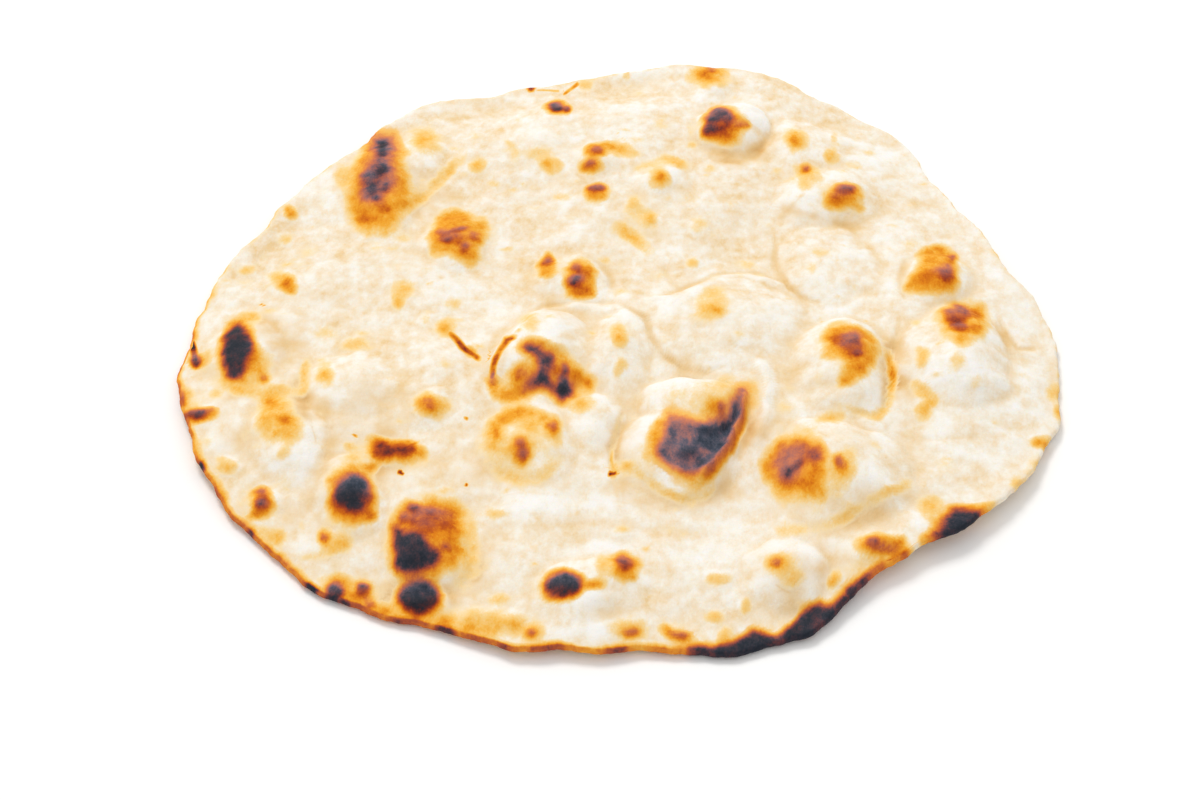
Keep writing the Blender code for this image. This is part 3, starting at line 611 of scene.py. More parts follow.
# Raised lips: points, half width, height in mm
LIPS = (
    (((744, 392), (741, 420), (729, 445), (712, 468), (697, 482)), 5, 1.9),
    (((757, 356), (771, 382), (767, 412), (754, 446)), 9, 0.9),
    (((530, 398), (550, 401), (572, 397)), 5, 0.8),
    (((500, 345), (494, 368), (492, 385)), 5, 0.9),
    (((512, 330), (535, 340), (560, 350)), 6, 0.8),
    (((640, 300), (673, 298), (694, 291), (713, 282), (737, 279), (764, 281),
      (786, 290)), 8, 0.8),
    (((518, 327), (543, 313), (580, 309), (619, 310), (640, 322)), 8, 0.7),
)
# Pale ridges, partly flour and partly painted highlight on their crests: points, half width, amount
PALES = (
    (((752, 348), (768, 368), (772, 388), (766, 412), (754, 440)), 8, 0.16),
    (((308, 400), (314, 425), (311, 470)), 7, 0.36),
    (((700, 108), (720, 100), (748, 106), (764, 122), (762, 145)), 7, 0.25),
    (((500, 408), (530, 402), (560, 406), (590, 400)), 7, 0.36),
    (((488, 500), (560, 498), (640, 505)), 9, 0.36),
    (((655, 470), (675, 484), (700, 490)), 6, 0.36),
    (((768, 548), (790, 540), (812, 552), (814, 570)), 8, 0.36),
    (((858, 400), (880, 425), (892, 455)), 10, 0.36),
    (((560, 560), (600, 545), (640, 550)), 8, 0.36),
)
# Broad gold tinges in the dough: x, y, half length, half width, tan
TINGES = (
    (265, 338, 36, 26, 0.53), (292, 402, 30, 24, 0.43), (240, 394, 30, 14, 0.46),
    (225, 440, 24, 26, 0.31), (410, 470, 42, 24, 0.31), (472, 556, 28, 34, 0.56),
    (398, 600, 46, 18, 0.44), (300, 520, 50, 26, 0.34), (590, 384, 24, 16, 0.25),
    (640, 226, 36, 26, 0.34), (560, 142, 40, 12, 0.19), (870, 440, 32, 14, 0.31),
    (700, 502, 60, 12, 0.22), (800, 562, 42, 18, 0.50), (842, 574, 36, 18, 0.26), (905, 384, 14, 30, 0.37),
    (620, 482, 22, 12, 0.31), (735, 152, 30, 14, 0.31), (440, 205, 34, 20, 0.28),
    (300, 300, 30, 20, 0.19), (380, 395, 50, 24, 0.19), (345, 470, 40, 18, 0.31),
    (850, 500, 40, 18, 0.34), (715, 320, 30, 20, 0.25), (420, 270, 40, 22, 0.19),
    (350, 425, 44, 26, 0.30), (486, 470, 40, 22, 0.30), (622, 452, 26, 30, 0.28),
    (762, 420, 24, 36, 0.34), (395, 602, 50, 20, 0.30), (560, 312, 40, 14, 0.16),
)
# Small rises that carry a mark of their own: x, y, half width, height in mm
RISES = (
    (557, 110, 20, 0.9), (596, 160, 20, 0.9), (598, 195, 16, 0.8), (478, 168, 14, 0.4),
    (548, 268, 18, 0.9), (284, 284, 22, 0.9), (402, 296, 18, 0.7), (289, 212, 14, 0.5),
    (660, 180, 20, 0.9), (795, 141, 20, 0.5), (807, 174, 18, 0.8), (845, 198, 24, 1.0),
    (692, 264, 12, 0.5), (619, 338, 16, 0.7), (620, 369, 14, 0.5), (447, 330, 16, 0.6),
    (357, 346, 18, 0.5), (325, 377, 20, 0.5), (228, 467, 16, 0.7), (262, 504, 16, 0.9),
    (267, 535, 18, 0.6), (332, 542, 22, 0.7), (199, 416, 20, 0.8), (429, 407, 18, 0.8),
    (554, 430, 14, 0.6), (521, 449, 16, 0.6), (496, 438, 16, 0.6), (499, 601, 14, 0.5),
    (624, 567, 20, 0.9), (629, 631, 20, 0.6), (531, 633, 14, 0.7), (718, 580, 18, 0.6),
    (745, 606, 12, 0.5), (715, 618, 14, 0.5), (877, 545, 28, 0.9), (834, 582, 14, 0.6),
    (922, 359, 14, 0.4), (925, 401, 16, 0.5), (711, 77, 22, 0.9), (1038, 443, 14, 0.5),
    (712, 310, 22, 0.5), (335, 593, 14, 0.8), (363, 590, 12, 0.8), (634, 207, 12, 0.5),
    (650, 221, 12, 0.5), (494, 515, 18, 0.4), (553, 166, 14, 0.4), (673, 162, 18, 0.4),
    (836, 417, 16, 0.4), (426, 320, 12, 0.4), (530, 322, 16, 0.5), (470, 615, 18, 0.5),
    (512, 619, 18, 0.5), (676, 636, 20, 0.6), (725, 638, 14, 0.5), (284, 454, 12, 0.4),
    (831, 157, 14, 0.5), (916, 323, 10, 0.3), (957, 361, 16, 0.3), (976, 384, 12, 0.3),
    (246, 271, 14, 0.5), (285, 240, 12, 0.4), (622, 531, 14, 0.4), (698, 226, 18, 0.5),
)


def along_line(px, py, points):
    """Distance, in pixels, from each point to a broken line."""
    return line_place(px, py, points)[0]


def line_place(px, py, points, sided=False):
    """Distance to a broken line, and how far along it, 0 to 1, the nearest spot is.
    Sided, the distance is negative on the line's left."""
    best = np.full_like(px, 1e9)
    share = np.zeros_like(px)
    side = np.ones_like(px)
    lengths = [math.dist(a, b) for a, b in zip(points[:-1], points[1:])]
    run, whole = 0.0, sum(lengths)
    for (x0, y0), (x1, y1), length in zip(points[:-1], points[1:], lengths):
        dx, dy = x1 - x0, y1 - y0
        t = np.clip(((px - x0) * dx + (py - y0) * dy) / (dx * dx + dy * dy), 0.0, 1.0)
        d = np.hypot(px - x0 - t * dx, py - y0 - t * dy)
        share = np.where(d < best, (run + t * length) / whole, share)
        turned = np.where(dx * (py - y0) - dy * (px - x0) < 0.0, -1.0, 1.0)
        side = np.where(d < best, turned, side)
        best = np.minimum(best, d)
        run += length
    return (best * side if sided else best), share


def tapered(share, ends=0.16):
    """1 along a line and 0 at its ends."""
    return ease(np.minimum(share, 1.0 - share) / ends + 0.15)


def near_line(px, py, points, margin):
    xs, ys = [p[0] for p in points], [p[1] for p in points]
    return (
        (px > min(xs) - margin) & (px < max(xs) + margin)
        & (py > min(ys) - margin) & (py < max(ys) + margin)
    )


def inside_patch(px, py, points):
    """Signed distance to a closed outline, negative inside."""
    ring = list(points) + [points[0]]
    distance = along_line(px, py, ring)
    inside = np.zeros(px.shape, bool)
    for (x0, y0), (x1, y1) in zip(ring[:-1], ring[1:]):
        crosses = (y0 > py) != (y1 > py)
        at = x0 + (py - y0) * (x1 - x0) / ((y1 - y0) or 1e-9)
        inside ^= crosses & (px < at)
    return np.where(inside, -distance, distance)


def line_relief(x, y, px, py):
    """Folds pressed in and lips raised, in mm."""
    z = np.zeros_like(px)
    wx = px + 2.4 * noise(x, y, 7.0, 31) + 1.0 * noise(x, y, 3.0, 33)
    wy = py + 1.8 * noise(x, y, 7.0, 32) + 0.8 * noise(x, y, 3.0, 34)
    for points, half, _, depth in FOLDS:
        near = near_line(px, py, points, 3 * half + 6)
        d, share = line_place(wx[near], wy[near], points)
        z[near] -= 0.55 * depth * tapered(share) * np.exp(-((d / (0.6 * half)) ** 2))
    for points, half, height in LIPS:
        near = near_line(px, py, points, 3 * half + 6)
        d, share = line_place(wx[near], wy[near], points)
        z[near] += height * tapered(share) * np.exp(-((d / (0.7 * half)) ** 2))
    for rx, ry, half, height in RISES:
        near = (np.abs(px - rx) < half * 1.4) & (np.abs(py - ry) < half * 1.2)
        d2 = ((wx[near] - rx) / half) ** 2 + ((wy[near] - ry) / (0.8 * half)) ** 2
        z[near] += 0.8 * height * np.clip(1 - d2, 0, 1) ** 1.6
    for points, *_ in CHARS[:1]:
        near = near_line(px, py, points, 12)
        sink = ease((2.0 - inside_patch(wx[near], wy[near], points)) / 13.0)
        z[near] -= 1.5 * sink
    return z


def fall(d, core):
    """A mark's strength: full in its core, soft to its edge, and below zero past it,
    so that the edge can be read between the mesh's points."""
    t = np.clip((d - core) / (1.22 - core), 0.0, 1.7)
    return 1.0 - t**1.2


SINK = 0.5
SHARE = 9


def burn_field(x, y, px, py):
    """How far the crust is scorched, below 0 to 1, and how much painted sheen, a mauve and blue-grey reflection,
    lies on that scorch.
    """
    wx = px + 2.8 * noise(x, y, 5.0, 41) + 1.6 * noise(x, y, 2.8, 42)
    wy = py + 2.2 * noise(x, y, 5.0, 43) + 1.2 * noise(x, y, 2.8, 44)
    uneven = 0.14 * noise(x, y, 4.2, 47) + 0.12 * noise(x, y, 2.4, 48)
    cloudy = 0.62 + 0.34 * noise(x, y, 3.4, 49)
    total = np.zeros_like(px)
    sheen_total = np.zeros_like(px)

    def add(near, strength, painted_sheen=0.0):
        power = np.clip(strength + SINK, 0.0, 2.0) ** SHARE
        total[near] += power
        sheen_total[near] += painted_sheen * power

    for mx, my, a, b, turn, level, core in MARKS:
        reach = 1.9 * max(a, b) + 8
        near = (np.abs(px - mx) < reach) & (np.abs(py - my) < reach)
        if not near.any():
            continue
        small = min(1.0, min(a, b) / 8.0)
        if level > 0.45:
            a, b = max(a, 4.6), max(b, 4.2)
        elif level < 0.4:
            a, b = 1.12 * a, 1.12 * b
        dx = px[near] + (wx[near] - px[near]) * small - mx
        dy = my - py[near] - (wy[near] - py[near]) * small
        c, s = math.cos(math.radians(turn)), math.sin(math.radians(turn))
        d = np.sqrt(((dx * c + dy * s) / a) ** 2 + ((dy * c - dx * s) / b) ** 2)
        if level > 0.55:
            core = core + 0.32 * (1 - core)
        elif level < 0.4:
            core = 0.2 * core
        strength = level * (fall(d, core) + small * uneven[near])
        # Painted sheen: the far side of each dark mark is mauve and blue-grey, as a reflection of the light.
        painted_sheen = ease(0.40 + 0.8 * dy / b) if level > 0.55 else 0.0
        add(near, strength, painted_sheen)
    for points, half, level, core in STREAKS:
        near = near_line(px, py, points, 2.4 * half + 8)
        small = min(0.8, half / 8.0)
        sx = px[near] + (wx[near] - px[near]) * small
        sy = py[near] + (wy[near] - py[near]) * small
        d, share = line_place(sx, sy, points)
        broken = 0.86 + 0.5 * noise(x[near], y[near], 9.0, 46) + 1.6 * uneven[near]
        strength = level * fall(d / half, core) * (0.5 + 0.5 * tapered(share)) * broken
        add(near, strength)
    # Char patches carry painted sheen, blue-grey and mauve, in cloudy patches.
    for points, soft, level, painted_sheen in CHARS:
        near = near_line(px, py, points, 34)
        d = inside_patch(wx[near], wy[near], points) / soft
        strength = 1.0 - 0.45 * ease((d + 1.0) / 2.0) - 0.55 * np.clip((d - 1.0) / 2.2, 0.0, 2.2)
        strength = level * (strength + uneven[near] * ease(1.0 - 0.4 * d))
        add(near, strength, np.clip(painted_sheen * (cloudy[near] + painted_sheen - 0.5), 0, 1))
    painted_sheen = np.clip(sheen_total / np.maximum(total, 1e-9), 0, 1)
    return np.minimum(total ** (1.0 / SHARE) - SINK, 0.96), painted_sheen


def line_layer(x, y, px, py, lines, wander):
    """For lines finer than the mesh: distance in half widths, signed by side so that
    it can be read between vertices, and strength."""
    wx = px + wander * (2.4 * noise(x, y, 7.0, 31) + 1.0 * noise(x, y, 3.0, 33))
    wy = py + wander * (1.8 * noise(x, y, 7.0, 32) + 0.8 * noise(x, y, 3.0, 34))
    side = np.full_like(px, 9.0)
    strength = np.zeros_like(px)
    for points, half, level in lines:
        half = max(half, 1.0)
        margin = 7.0 + 2.2 * half
        near = near_line(px, py, points, margin)
        d, share = line_place(wx[near], wy[near], points, sided=True)
        reach = ease((margin - np.abs(d)) / (0.5 * margin))
        here = level * ease(np.minimum(share, 1.0 - share) / 0.12) * reach
        better = np.abs(d) / half < np.abs(side[near])
        side[near] = np.where(better, d / half, side[near])
        strength[near] = np.where(better, here, strength[near])
    return side, strength


def tan_field(x, y, px, py):
    """Tan tone: painted shade beside folds and the feet of blisters, partly as drier crust, and the broad gold
    tinges.
    """
    wx = px + 3.4 * noise(x, y, 7.0, 51) + 1.6 * noise(x, y, 3.0, 53)
    wy = py + 2.6 * noise(x, y, 7.0, 52) + 1.2 * noise(x, y, 3.0, 54)
    uneven = np.clip(0.8 + 0.6 * rough_noise(x, y, 8.0, 55), 0.1, 1.4)
    total = np.zeros_like(px)
    for points, half, tan, _ in FOLDS:
        near = near_line(px, py, points, 4 * half + 8)
        d, share = line_place(wx[near], wy[near], points)
        line = 0.42 * np.exp(-((d / (1.5 * half)) ** 2))
        total[near] = np.maximum(total[near], tan * tapered(share, 0.3) * line)
    for tx, ty, long, wide, tan in TINGES:
        total += tan * np.exp(-(((wx - tx) / long) ** 2) - ((wy - ty) / wide) ** 2)
    return total * uneven


# ----------------------------------------------------------------------------
# The mesh
# ----------------------------------------------------------------------------
TOP_STRIPS = 264
UNDER_STRIPS = TOP_STRIPS // 2
RIM_RINGS = 5


def grid_faces(strips, start, flip):
    row = strips + 1
    i, j = np.meshgrid(np.arange(strips), np.arange(strips))
    a = (start + j * row + i).ravel()
    faces = np.stack([a, a + 1, a + row + 1, a + row], axis=1)
    return faces[:, ::-1] if flip else faces


def grid_ring(strips, start, angle):
    row = strips + 1
    index = np.arange(row * row)
    i, j = index % row, index // row
    edge = (i == 0) | (i == strips) | (j == 0) | (j == strips)
    ring = index[edge]
    return start + ring[np.argsort(angle[edge], kind="stable")]


def blurred(values, row, passes):
    grid = values.reshape(row, row)
    for _ in range(passes):
        padded = np.pad(grid, 1, mode="edge")
        grid = 0.2 * (
            padded[1:-1, 1:-1] + padded[:-2, 1:-1] + padded[2:, 1:-1]
            + padded[1:-1, :-2] + padded[1:-1, 2:]
        )
    return grid.ravel()


def steepness(x, y, z, row):
    """How steep the surface is, as rise over run."""
    def across(values):
        grid = values.reshape(row, row)
        return np.gradient(grid, axis=1), np.gradient(grid, axis=0)

    (xu, xv), (yu, yv), (zu, zv) = across(x), across(y), across(z)
    area = xu * yv - xv * yu
    area = np.where(np.abs(area) < 1e-9, 1e-9, area)
    zx = (zu * yv - zv * yu) / area
    zy = (zv * xu - zu * xv) / area
    return np.clip(np.hypot(zx, zy), 0, 3).ravel()


def rim_toast(x, y, angle):
    level = 0.03 + 0.60 * hump(angle, 243, 98) + 0.12 * hump(angle, 192, 34)
    level = level + 0.16 * rough_noise(x, y, 9.0, 81) + 0.10 * noise(x, y, 2.6, 82)
    dark = ease((noise(x, y, 7.5, 83) - 0.30) / 0.35) * hump(angle, 235, 75)
    return np.clip(level + 0.42 * dark, 0, 0.95)


def freckle_field(x, y):
    """Faint gold freckles strewn between the marks."""
    total = np.full_like(x, -0.3)
    wx = x + 0.8 * noise(x, y, 3.0, 87)
    wy = y + 0.8 * noise(x, y, 3.0, 88)
    strewn = np.random.default_rng(23)
    for _ in range(260):
        reach = 101 * math.sqrt(strewn.random())
        turn = 2 * math.pi * strewn.random()
        sx, sy = reach * math.cos(turn), reach * math.sin(turn)
        length = 1.0 + 2.4 * strewn.random() ** 2
        width = length * (0.5 + 0.5 * strewn.random())
        level = 0.06 + 0.12 * strewn.random() ** 1.5
        near = (np.abs(x - sx) < 6) & (np.abs(y - sy) < 6)
        d = np.hypot((wx[near] - sx) / length, (wy[near] - sy) / width)
        total[near] = np.maximum(total[near], np.maximum(level * (1.1 - d), -0.3))
    return total


def top_surface():
    x, y, angle, gap = round_grid(TOP_STRIPS, RIM_ROUNDING)
    inner = ease(gap / BLISTER_TO_RIM)
    z = body_height(x, y, angle, gap) + blister_height(x, y) * inner
    px, py = pixel_of(x, y, z)
    fade = ease(gap / 5.0)
    z = z + line_relief(x, y, px, py) * fade
    z = z + fade * (0.42 * noise(x, y, 23.0, 61) + 0.30 * noise(x, y, 12.0, 62))
    # Wrinkles run across the sheet more than along it.
    z = z + fade * (0.22 * noise(x * 0.6, y, 6.0, 63) + 0.12 * noise(x, y, 3.4, 64))
    z = z + fade * 0.05 * noise(x, y, 1.8, 65)
    return x, y, angle, gap, z


def build_crust():
    x, y, angle, gap, z = top_surface()
    px, py = pixel_of(x, y, z)
    row = TOP_STRIPS + 1
    burn, painted_sheen = (blurred(values, row, 1) for values in burn_field(x, y, px, py))
    # The dough round a mark is tinged gold, more on some sides than on others.
    halo = 0.66 * blurred(np.clip(burn, 0.0, 0.5), row, 26)
    halo = halo * np.clip(0.48 + 0.9 * noise(x, y, 11.0, 74) + 0.5 * noise(x, y, 4.0, 75), 0, 1.1)
    burn = np.maximum(burn, halo - 0.015)
    # Charred crust is blistered and cracked on a fine scale.
    z = z + 0.16 * ease((burn - 0.75) / 0.25) * rough_noise(x, y, 1.8, 71, 2)
    tan = tan_field(x, y, px, py)

    # Painted shade: hollows and steep feet are tan and warmer, partly as drier crust. Crests are paler, partly
    # flour and partly painted highlight.
    hollow = (blurred(z, row, 30) - z) / 0.5
    wide_hollow = (blurred(z, row, 160) - z) / 1.4
    slope = blurred(steepness(x, y, z, row), row, 4)
    tan = tan + 0.16 * np.clip(hollow, 0, 1) + 0.09 * np.clip(wide_hollow, 0, 1)
    tan = tan + 0.07 * ease((slope - 0.20) / 0.45)
    tan = np.clip(tan, 0, 1)
    # Painted shade: small hollows are warmer.
    small_hollow = (blurred(z, row, 5) - z) / 0.06
    warm = 0.43 + 0.22 * rough_noise(x, y, 24.0, 66) + 0.15 * rough_noise(x, y, 7.0, 67)
    warm = warm + 0.16 * np.clip(small_hollow, -1, 1)
    # Painted highlight, with flour: crests are paler.
    warm = warm - 0.10 * np.clip(-hollow, 0, 1) - 0.06 * np.clip(-wide_hollow, 0, 1)
    # Painted highlight, with flour, along the pale ridges.
    for points, half, amount in PALES:
        near = near_line(px, py, points, 2.5 * half)
        d, share = line_place(px[near], py[near], points)
        pale = amount * tapered(share, 0.25) * np.exp(-((d / half) ** 2))
        warm[near] -= pale
        tan[near] *= 1 - 1.6 * pale
    warm = warm + 0.10 - 0.05 * ease((-y - 45.0) / 40.0) - 0.07 * ease((x - 45.0) / 45.0)
    warm = np.clip(warm, 0, 1)

    # The rim is toasted at its front and left, and pale at its back.
    toast = rim_toast(x, y, angle) * (1 - gap / (1.9 + 1.3 * noise(x, y, 9.0, 68)))
    burn = np.maximum(burn, np.maximum(toast, freckle_field(x, y)))
    burn = np.maximum(burn, -0.3)
    # Painted shade: a thin tan line in each fold.
    creases = [(points, 0.36 * half, 0.62 * level) for points, half, level, _ in FOLDS]
    hair_side, hair = line_layer(x, y, px, py, HAIRLINES, 0.8)
    crease_side, crease = line_layer(x, y, px, py, creases, 1.0)
    crease = crease * np.clip(0.75 + 0.9 * noise(x, y, 5.0, 56), 0.1, 1.3)
    hair = hair * np.clip(0.92 + 0.45 * noise(x, y, 3.2, 57), 0.5, 1.1)

    rim_angle = angle[grid_ring(TOP_STRIPS, 0, angle)]
    rim_top = grid_ring(TOP_STRIPS, 0, angle)
    count = len(rim_top)

    ux, uy, uangle, ugap = round_grid(UNDER_STRIPS, RIM_ROUNDING)
    uz = under_height(uangle, ugap)
    rim_under = grid_ring(UNDER_STRIPS, 0, uangle)

    verts = [np.stack([x, y, z], axis=1)]
    colours = [np.stack([burn, tan, warm], axis=1)]

    # The rim, from the upper side's edge round to the underside's
    edge = fine_edge(rim_angle)
    low_z = np.interp(
        rim_angle, np.r_[uangle[rim_under], 360.0], np.r_[uz[rim_under], uz[rim_under][0]]
    )
    high_z = z[rim_top]
    rim_colour = np.stack([burn[rim_top], tan[rim_top], warm[rim_top]], axis=1)
    for ring in range(1, RIM_RINGS + 1):
        turn = math.pi * ring / (RIM_RINGS + 1)
        radius = edge - RIM_ROUNDING * (1 - math.sin(turn))
        rx, ry = spot(rim_angle, radius)
        rz = 0.5 * (high_z + low_z) + 0.5 * (high_z - low_z) * math.cos(turn)
        verts.append(np.stack([rx, ry, rz], axis=1))
        ring_colour = rim_colour.copy()
        ring_colour[:, 0] = np.maximum(ring_colour[:, 0], rim_toast(rx, ry, rim_angle))
        colours.append(ring_colour)

    # The underside, with small evenly spread spots from the oven wall
    under_burn = np.zeros_like(ux)
    spots = np.random.default_rng(11)
    for _ in range(150):
        reach = 100 * math.sqrt(spots.random())
        turn = 2 * math.pi * spots.random()
        sx, sy = reach * math.cos(turn), reach * math.sin(turn)
        size = 1.6 + 4.6 * spots.random() ** 2
        stretch = 0.65 + 0.7 * spots.random()
        level = 0.22 + 0.55 * spots.random() ** 1.6
        wx = ux + 0.8 * noise(ux, uy, 2.6, 91)
        wy = uy + 0.8 * noise(ux, uy, 2.6, 92)
        d = np.hypot((wx - sx) / size, (wy - sy) / (size * stretch))
        under_burn += np.clip(level * (1.1 - d) + 0.3, 0, 2) ** 8
    under_burn = under_burn**0.125 - 0.3
    rim_burn = np.interp(uangle, np.r_[rim_angle, 360.0], np.r_[burn[rim_top], burn[rim_top][0]])
    rim_reach = 4.5 + 3.5 * noise(ux, uy, 9.0, 94)
    under_burn = np.maximum(under_burn, rim_burn * np.clip(1.15 - ugap / rim_reach, -0.3, 1))
    under_tan = np.clip(0.38 + 0.26 * rough_noise(ux, uy, 18.0, 93), 0, 1)
    verts.append(np.stack([ux, uy, uz], axis=1))
    under_warm = np.clip(0.55 + 0.26 * rough_noise(ux, uy, 9.0, 95), 0, 1)
    colours.append(np.stack([under_burn, under_tan, under_warm], axis=1))

    faces = grid_faces(TOP_STRIPS, 0, False).tolist()
    rings = [rim_top]
    start = len(x)
    for _ in range(RIM_RINGS):
        rings.append(start + np.arange(count))
        start += count
    for upper, lower in zip(rings[:-1], rings[1:]):
        after_upper, after_lower = np.roll(upper, -1), np.roll(lower, -1)
        faces += np.stack([upper, lower, after_lower, after_upper], axis=1).tolist()
    faces += grid_faces(UNDER_STRIPS, start, True).tolist()
    under = start + rim_under
    last = rings[-1]
    for index in range(0, count, 2):
        low, high = under[index // 2], under[(index // 2 + 1) % (count // 2)]
        first, between, after = last[index], last[index + 1], last[(index + 2) % count]
        faces += [
            [int(low), int(between), int(first)],
            [int(low), int(high), int(between)],
            [int(high), int(after), int(between)],
        ]

    points = np.concatenate(verts) * MM
    shades = np.concatenate(colours)
    mesh = bpy.data.meshes.new("roti_crust")
    mesh.from_pydata(points.tolist(), [], faces)
    mesh.update()
    attribute = mesh.color_attributes.new("crust", "FLOAT_COLOR", "POINT")
    rgba = np.ones((len(points), 4), np.float32)
    rgba[:, :3] = np.clip(shades, 0.0, 1.0)
    attribute.data.foreach_set("color", rgba.ravel())
    # The underside and rim hold no lines or painted sheen: only the upper side's come first.
    for name, values, rest in (
        ("burn", shades[:, 0], 0.0),
        ("hair_side", hair_side, 9.0), ("hair", hair, 0.0),
        ("crease_side", crease_side, 9.0), ("crease", crease, 0.0), ("painted_sheen", painted_sheen, 0.25),
    ):
        whole = np.full(len(points), rest, np.float32)
        whole[: len(values)] = values
        mesh.attributes.new(name, "FLOAT", "POINT").data.foreach_set("value", whole)
    mesh.polygons.foreach_set("use_smooth", np.ones(len(mesh.polygons), bool))
    obj = bpy.data.objects.new("roti_crust", mesh)
    bpy.context.scene.collection.objects.link(obj)
    return obj


# ----------------------------------------------------------------------------
# Materials
# ----------------------------------------------------------------------------
def linear(r, g, b, light=1.0):
    """A colour as it looks on screen, as a surface colour under this much light."""
    out = []
    for c in (r, g, b):
        c = c / 255.0
        c = c / 12.92 if c <= 0.04045 else ((c + 0.055) / 1.055) ** 2.4
        out.append(min(c / light, 1.0))
    return (*out, 1.0)


LIGHT = 1.15


def crust_material():
    material = bpy.data.materials.new("baked_crust")
    material.use_nodes = True
    tree = material.node_tree
    nodes, links = tree.nodes, tree.links
    shader = nodes["Principled BSDF"]

    def node(kind, **values):
        made = nodes.new(kind)
        for key, value in values.items():
            setattr(made, key, value)
        return made

    def maths(operation, a, b=None, clamp=False):
        made = node("ShaderNodeMath", operation=operation, use_clamp=clamp)
        for slot, value in enumerate((a, b)):
            if value is None:
                continue
            if isinstance(value, (int, float)):
                made.inputs[slot].default_value = value
            else:
                links.new(value, made.inputs[slot])
        return made.outputs[0]

    def spread(value, low, high, to_low=0.0, to_high=1.0):
        made = node("ShaderNodeMapRange", clamp=True)
        made.interpolation_type = "SMOOTHSTEP"
        links.new(value, made.inputs["Value"])
        for name, number in (("From Min", low), ("From Max", high), ("To Min", to_low), ("To Max", to_high)):
            made.inputs[name].default_value = number
        return made.outputs["Result"]

    def blend(factor, a, b):
        made = node("ShaderNodeMix", data_type="RGBA")
        if isinstance(factor, (int, float)):
            made.inputs["Factor"].default_value = factor
        else:
            links.new(factor, made.inputs["Factor"])
        for slot, value in ((6, a), (7, b)):
            if isinstance(value, tuple):
                made.inputs[slot].default_value = value
            else:
                links.new(value, made.inputs[slot])
        return made.outputs[2]

    # Grain runs a little longer front to back.
    place = node("ShaderNodeVectorMath", operation="MULTIPLY")
    links.new(node("ShaderNodeTexCoord").outputs["Object"], place.inputs[0])
    place.inputs[1].default_value = (1.0, 0.75, 1.0)
    place = place.outputs[0]

    def speckle(scale, detail, roughness=0.5, distortion=0.0):
        made = node("ShaderNodeTexNoise")
        links.new(place, made.inputs["Vector"])
        made.inputs["Scale"].default_value = scale
        made.inputs["Detail"].default_value = detail
        made.inputs["Roughness"].default_value = roughness
        made.inputs["Distortion"].default_value = distortion
        return made.outputs["Fac"]

    painted = node("ShaderNodeAttribute", attribute_name="crust")
    split = node("ShaderNodeSeparateColor")
    links.new(painted.outputs["Color"], split.inputs["Color"])
    tan, warm = split.outputs[1], split.outputs[2]

    def layer(name):
        return node("ShaderNodeAttribute", attribute_name=name).outputs["Fac"]

    burn = layer("burn")

    def thin_line(side, strength, inner, outer):
        across = maths("ABSOLUTE", layer(side))
        return maths("MULTIPLY", spread(across, inner, outer, 1.0, 0.0), layer(strength))

    patch = speckle(300, 4, 0.62, 0.3)
    mottle = speckle(150, 4, 0.6, 0.3)
    grain = speckle(760, 4, 0.65)
    dust = speckle(2100, 3, 0.65)

    def ramp_of(value, stops):
        made = node("ShaderNodeValToRGB")
        links.new(value, made.inputs["Fac"])
        ends = made.color_ramp.elements
        while len(ends) < len(stops):
            ends.new(0.5)
        for element, (at, shade) in zip(ends, stops):
            element.position = at
            element.color = linear(*shade, LIGHT)
        return made.outputs["Color"]

    def uneven(value, middle, amount):
        return maths("MULTIPLY", maths("SUBTRACT", value, middle), amount)

    # Dough: near white on the crests (flour and painted highlight), cream, then warmer and tan (drier crust and
    # painted shade)
    tone = maths("ADD", warm, uneven(mottle, 0.5, 0.85))
    tone = maths("ADD", tone, uneven(patch, 0.5, 0.65))
    tone = maths("ADD", tone, uneven(grain, 0.5, 0.8), clamp=True)
    cream = ramp_of(tone, (
        (0.0, (253, 251, 247)),
        (0.3, (251, 245, 232)),
        (0.55, (248, 234, 211)),
        (0.8, (245, 222, 185)),
        (1.0, (240, 208, 156)),
    ))
    fleck = maths("MULTIPLY", spread(patch, 0.60, 0.74), 0.30)
    cream = blend(fleck, cream, linear(248, 210, 146, LIGHT))
    flour = maths("MULTIPLY", spread(dust, 0.52, 0.75), 0.28)
    cream = blend(flour, cream, linear(254, 251, 247, LIGHT))
    # Painted shade, with drier crust: tan in hollows, at blister feet and along the folds.
    dry_and_shade = maths("MULTIPLY", tan, maths("ADD", 0.45, maths("MULTIPLY", mottle, 1.1)), clamp=True)
    dry_and_shade = maths("MAXIMUM", dry_and_shade, thin_line("crease_side", "crease", 0.0, 1.5))
    dry_and_shade_colour = ramp_of(dry_and_shade, (
        (0.0, (247, 226, 190)),
        (0.5, (238, 203, 148)),
        (1.0, (214, 160, 84)),
    ))
    cream = blend(spread(dry_and_shade, 0.0, 0.6), cream, dry_and_shade_colour)

